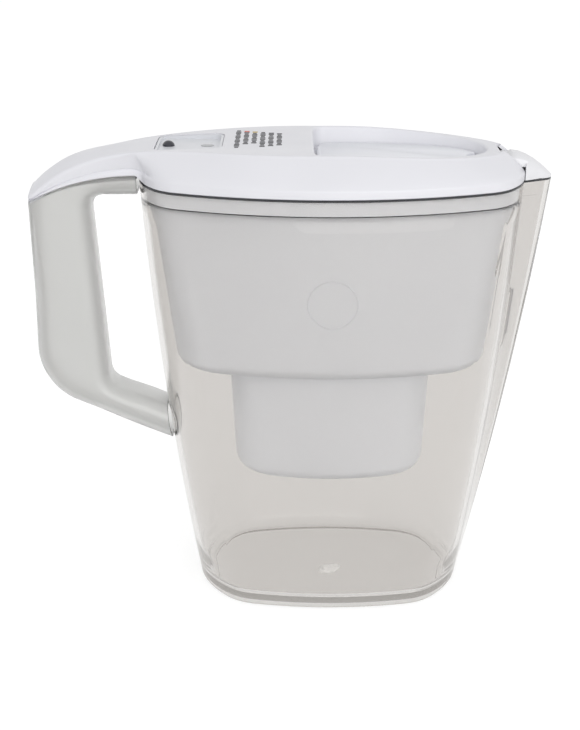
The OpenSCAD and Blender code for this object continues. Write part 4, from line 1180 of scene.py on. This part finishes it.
# Ring on the hopper: height of its centre, its radius and the thickness of its bead
RING_HEIGHT, RING_RADIUS, RING_BEAD = 172.6, 12.5, 0.38
# Gate mark, near white as a painted highlight: place and radius of each of its blobs, and the
# heights of their sides
GATE_BLOBS = ((0, -12, 5.2), (3.6, -9.5, 3.4), (-3.0, -14.5, 2.6))
GATE_FOOT, GATE_SHOULDER, GATE_TOP = FLOOR_HEIGHT + 0.02, FLOOR_HEIGHT + 0.5, FLOOR_HEIGHT + 0.7


def make_ring_mark():
    """A plain ring on the front of the hopper."""
    rings = []
    for a in np.linspace(0, 2 * math.pi, 73)[:-1]:
        x, z = RING_RADIUS * math.sin(a), RING_HEIGHT + RING_RADIUS * math.cos(a)
        share = (z - HOPPER_FLOOR - BOWL_ROUND) / (BOWL_TOP - HOPPER_FLOOR - BOWL_ROUND)
        outline = bowl_ring(share, 0)
        upper = outline[outline[:, 1] > 0]
        y = -float(np.interp(-x, -upper[:, 0], upper[:, 1]))
        turns = np.linspace(0, 2 * math.pi, 9)[:-1]
        c, s = np.cos(turns), np.sin(turns)
        out = np.column_stack([math.sin(a) * c, s, math.cos(a) * c])
        rings.append(np.array([x, y, z]) + RING_BEAD * out)
    shape = Shape().loft(rings, closed=True)
    finish_piece(shape.make("hopper_ring_mark"), "hopper", HOPPER_MILKY, angle=60)


def make_gate_mark():
    """The raised gate mark on the floor of the jug, near white as a painted highlight."""
    gate = Shape()
    for x, y, r in GATE_BLOBS:
        gate.lathe([(r, GATE_FOOT), (r * 0.9, GATE_SHOULDER), (0.4, GATE_TOP)], (x, y), 28)
    finish_piece(gate.make("gate_mark"), "jug", GATE_PAINTED_HIGHLIGHT, angle=60)


CAD_LOOKS = {
    "indicator_case": moulded("case_grey", (0.66, 0.67, 0.70), 0.3),
    "indicator_button": moulded(
        "button_dark", (0.012, 0.013, 0.022), 0.09, grain=0.0, Coat_Weight=0.6
    ),
    "button_dome": metal("dome_metal", (0.62, 0.62, 0.64), 0.24),
    "indicator_lens": moulded("lens_smoke", (0.30, 0.31, 0.32), 0.16, grain=0.0),
    "indicator_led": moulded("led_body", (0.70, 0.70, 0.42), 0.25),
    "indicator_board": moulded("board_green", (0.012, 0.10, 0.035), 0.36, drift=0.15, grain=0.15),
    "coin_cell": metal("cell_steel", (0.66, 0.66, 0.68), 0.22),
    "battery_clip": metal("clip_brass", (0.70, 0.60, 0.36), 0.26),
    "case_cover": moulded("cover_grey", (0.66, 0.67, 0.70), 0.42),
    "case_seal": moulded("frame_grey", (0.07, 0.075, 0.085), 0.62, drift=0.05, grain=0.2),
    "cartridge_body": moulded("cartridge_white", (0.82, 0.84, 0.86), 0.42),
    "cartridge_cap": moulded("cap_white", (0.80, 0.82, 0.85), 0.40),
    "cartridge_seal": moulded("seal_grey", (0.10, 0.105, 0.115), 0.62, drift=0.05, grain=0.2),
    "upper_screen": SCREEN_MESH,
    "lower_screen": SCREEN_MESH,
    "filter_media": granules("media_black", (0.03, 0.028, 0.028)),
}


EASED_NODES = ("indicator_case", "cartridge_body", "cartridge_cap", "indicator_lens")
NODE_EASE = 0.25
NODE_ANGLE = 35


def dress_nodes():
    """Looks for the pieces that keep their CAD shape, and eased edges for some of them."""
    for name, material in CAD_LOOKS.items():
        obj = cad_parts[name]
        obj.data.materials.clear()
        obj.data.materials.append(material)
        if name in EASED_NODES:
            bevel = obj.modifiers.new("ease", "BEVEL")
            bevel.width = NODE_EASE * MM
            bevel.segments = 2
            bevel.limit_method = "ANGLE"
            bevel.angle_limit = math.radians(NODE_ANGLE)
        obj.data.shade_smooth()
        obj.data.set_sharp_from_angle(angle=math.radians(NODE_ANGLE))


# Studio: white floor and surroundings, one soft lamp, and the camera at the photograph's angle
FLOOR_SIZE = 6000.0
FLOOR_SHADE = 0.80
FLOOR_SEEN, FLOOR_GLOW = 0.38, 0.72
EVEN_LIGHT = 0.80
# Extra share of light that matt pieces receive through clear plastic
THROUGH_JUG = 1.1
LENS, SENSOR = 69.68, 36
CAMERA_PLACE = (-0.0215, -0.721, 0.3926)
CAMERA_TILT = 20.51


def light_world():
    """White surroundings that light matt surfaces evenly, with more of it through clear plastic."""
    world = bpy.context.scene.world or bpy.data.worlds.new("studio")
    bpy.context.scene.world = world
    world.use_nodes = True
    tree = world.node_tree
    tree.nodes.clear()
    out = add_node(tree, "OutputWorld")
    path = add_node(tree, "LightPath")
    even = add_node(tree, "Background", Color=(1, 1, 1, 1), Strength=EVEN_LIGHT)
    seen = add_node(tree, "Background", Color=(1, 1, 1, 1), Strength=1.0)
    boost = add_node(tree, "Math", operation="MULTIPLY_ADD")
    boost.inputs[1].default_value = THROUGH_JUG
    boost.inputs[2].default_value = 1.0
    deep = add_node(tree, "Math", operation="MINIMUM")
    deep.inputs[1].default_value = 1.0
    link(path, "Diffuse Depth", deep, 0)
    link(deep, 0, boost, 0)
    link(boost, 0, seen, "Strength")
    show_mix(tree, out, path, "Is Diffuse Ray", seen, even)


def make_floor():
    """White floor, seen nearly even in tone, which lights the object as a plain pale floor does."""
    shape = Shape().block(-FLOOR_SIZE, FLOOR_SIZE, -FLOOR_SIZE, FLOOR_SIZE, -20, -0.02)
    obj = shape.make("studio_floor")
    material = bpy.data.materials.new("studio_floor")
    material.use_nodes = True
    tree = material.node_tree
    tree.nodes.clear()
    out = add_node(tree, "OutputMaterial")
    path = add_node(tree, "LightPath")
    matt = add_node(tree, "BsdfDiffuse", Color=(FLOOR_SEEN,) * 3 + (1,))
    glow = add_node(tree, "Emission", Color=(1, 1, 1, 1), Strength=FLOOR_GLOW)
    both = add_node(tree, "AddShader")
    plain = add_node(tree, "BsdfDiffuse", Color=(FLOOR_SHADE,) * 3 + (1,))
    link(matt, 0, both, 0)
    link(glow, 0, both, 1)
    show_mix(tree, out, path, "Is Diffuse Ray", both, plain)
    obj.data.materials.append(material)


def add_lamp(name, place, aim, size, power):
    lamp = bpy.data.lights.new(name, "AREA")
    lamp.shape = "RECTANGLE"
    lamp.size, lamp.size_y = size
    lamp.energy = power
    obj = bpy.data.objects.new(name, lamp)
    obj.location = place
    obj.rotation_euler = (Vector(aim) - Vector(place)).to_track_quat("-Z", "Y").to_euler()
    bpy.context.scene.collection.objects.link(obj)


def place_camera():
    camera = bpy.data.cameras.new("photo")
    camera.lens = LENS
    camera.sensor_width = SENSOR
    obj = bpy.data.objects.new("photo", camera)
    obj.location = CAMERA_PLACE
    obj.rotation_euler = (math.radians(90 - CAMERA_TILT), 0, 0)
    bpy.context.scene.collection.objects.link(obj)
    bpy.context.scene.camera = obj


make_jug()
make_handle()
make_hopper()
make_lid_top()
make_lid_skirt()
make_fill_flap()
make_hood()
make_neck()
make_status_marks()
make_ring_mark()
make_gate_mark()
dress_nodes()
light_world()
make_floor()
add_lamp("front_key", place=(0.5, -1.8, 0.8), aim=(0, 0, 0.15), size=(1.8, 1.4), power=17)
place_camera()
bpy.context.scene.view_settings.view_transform = "Standard"
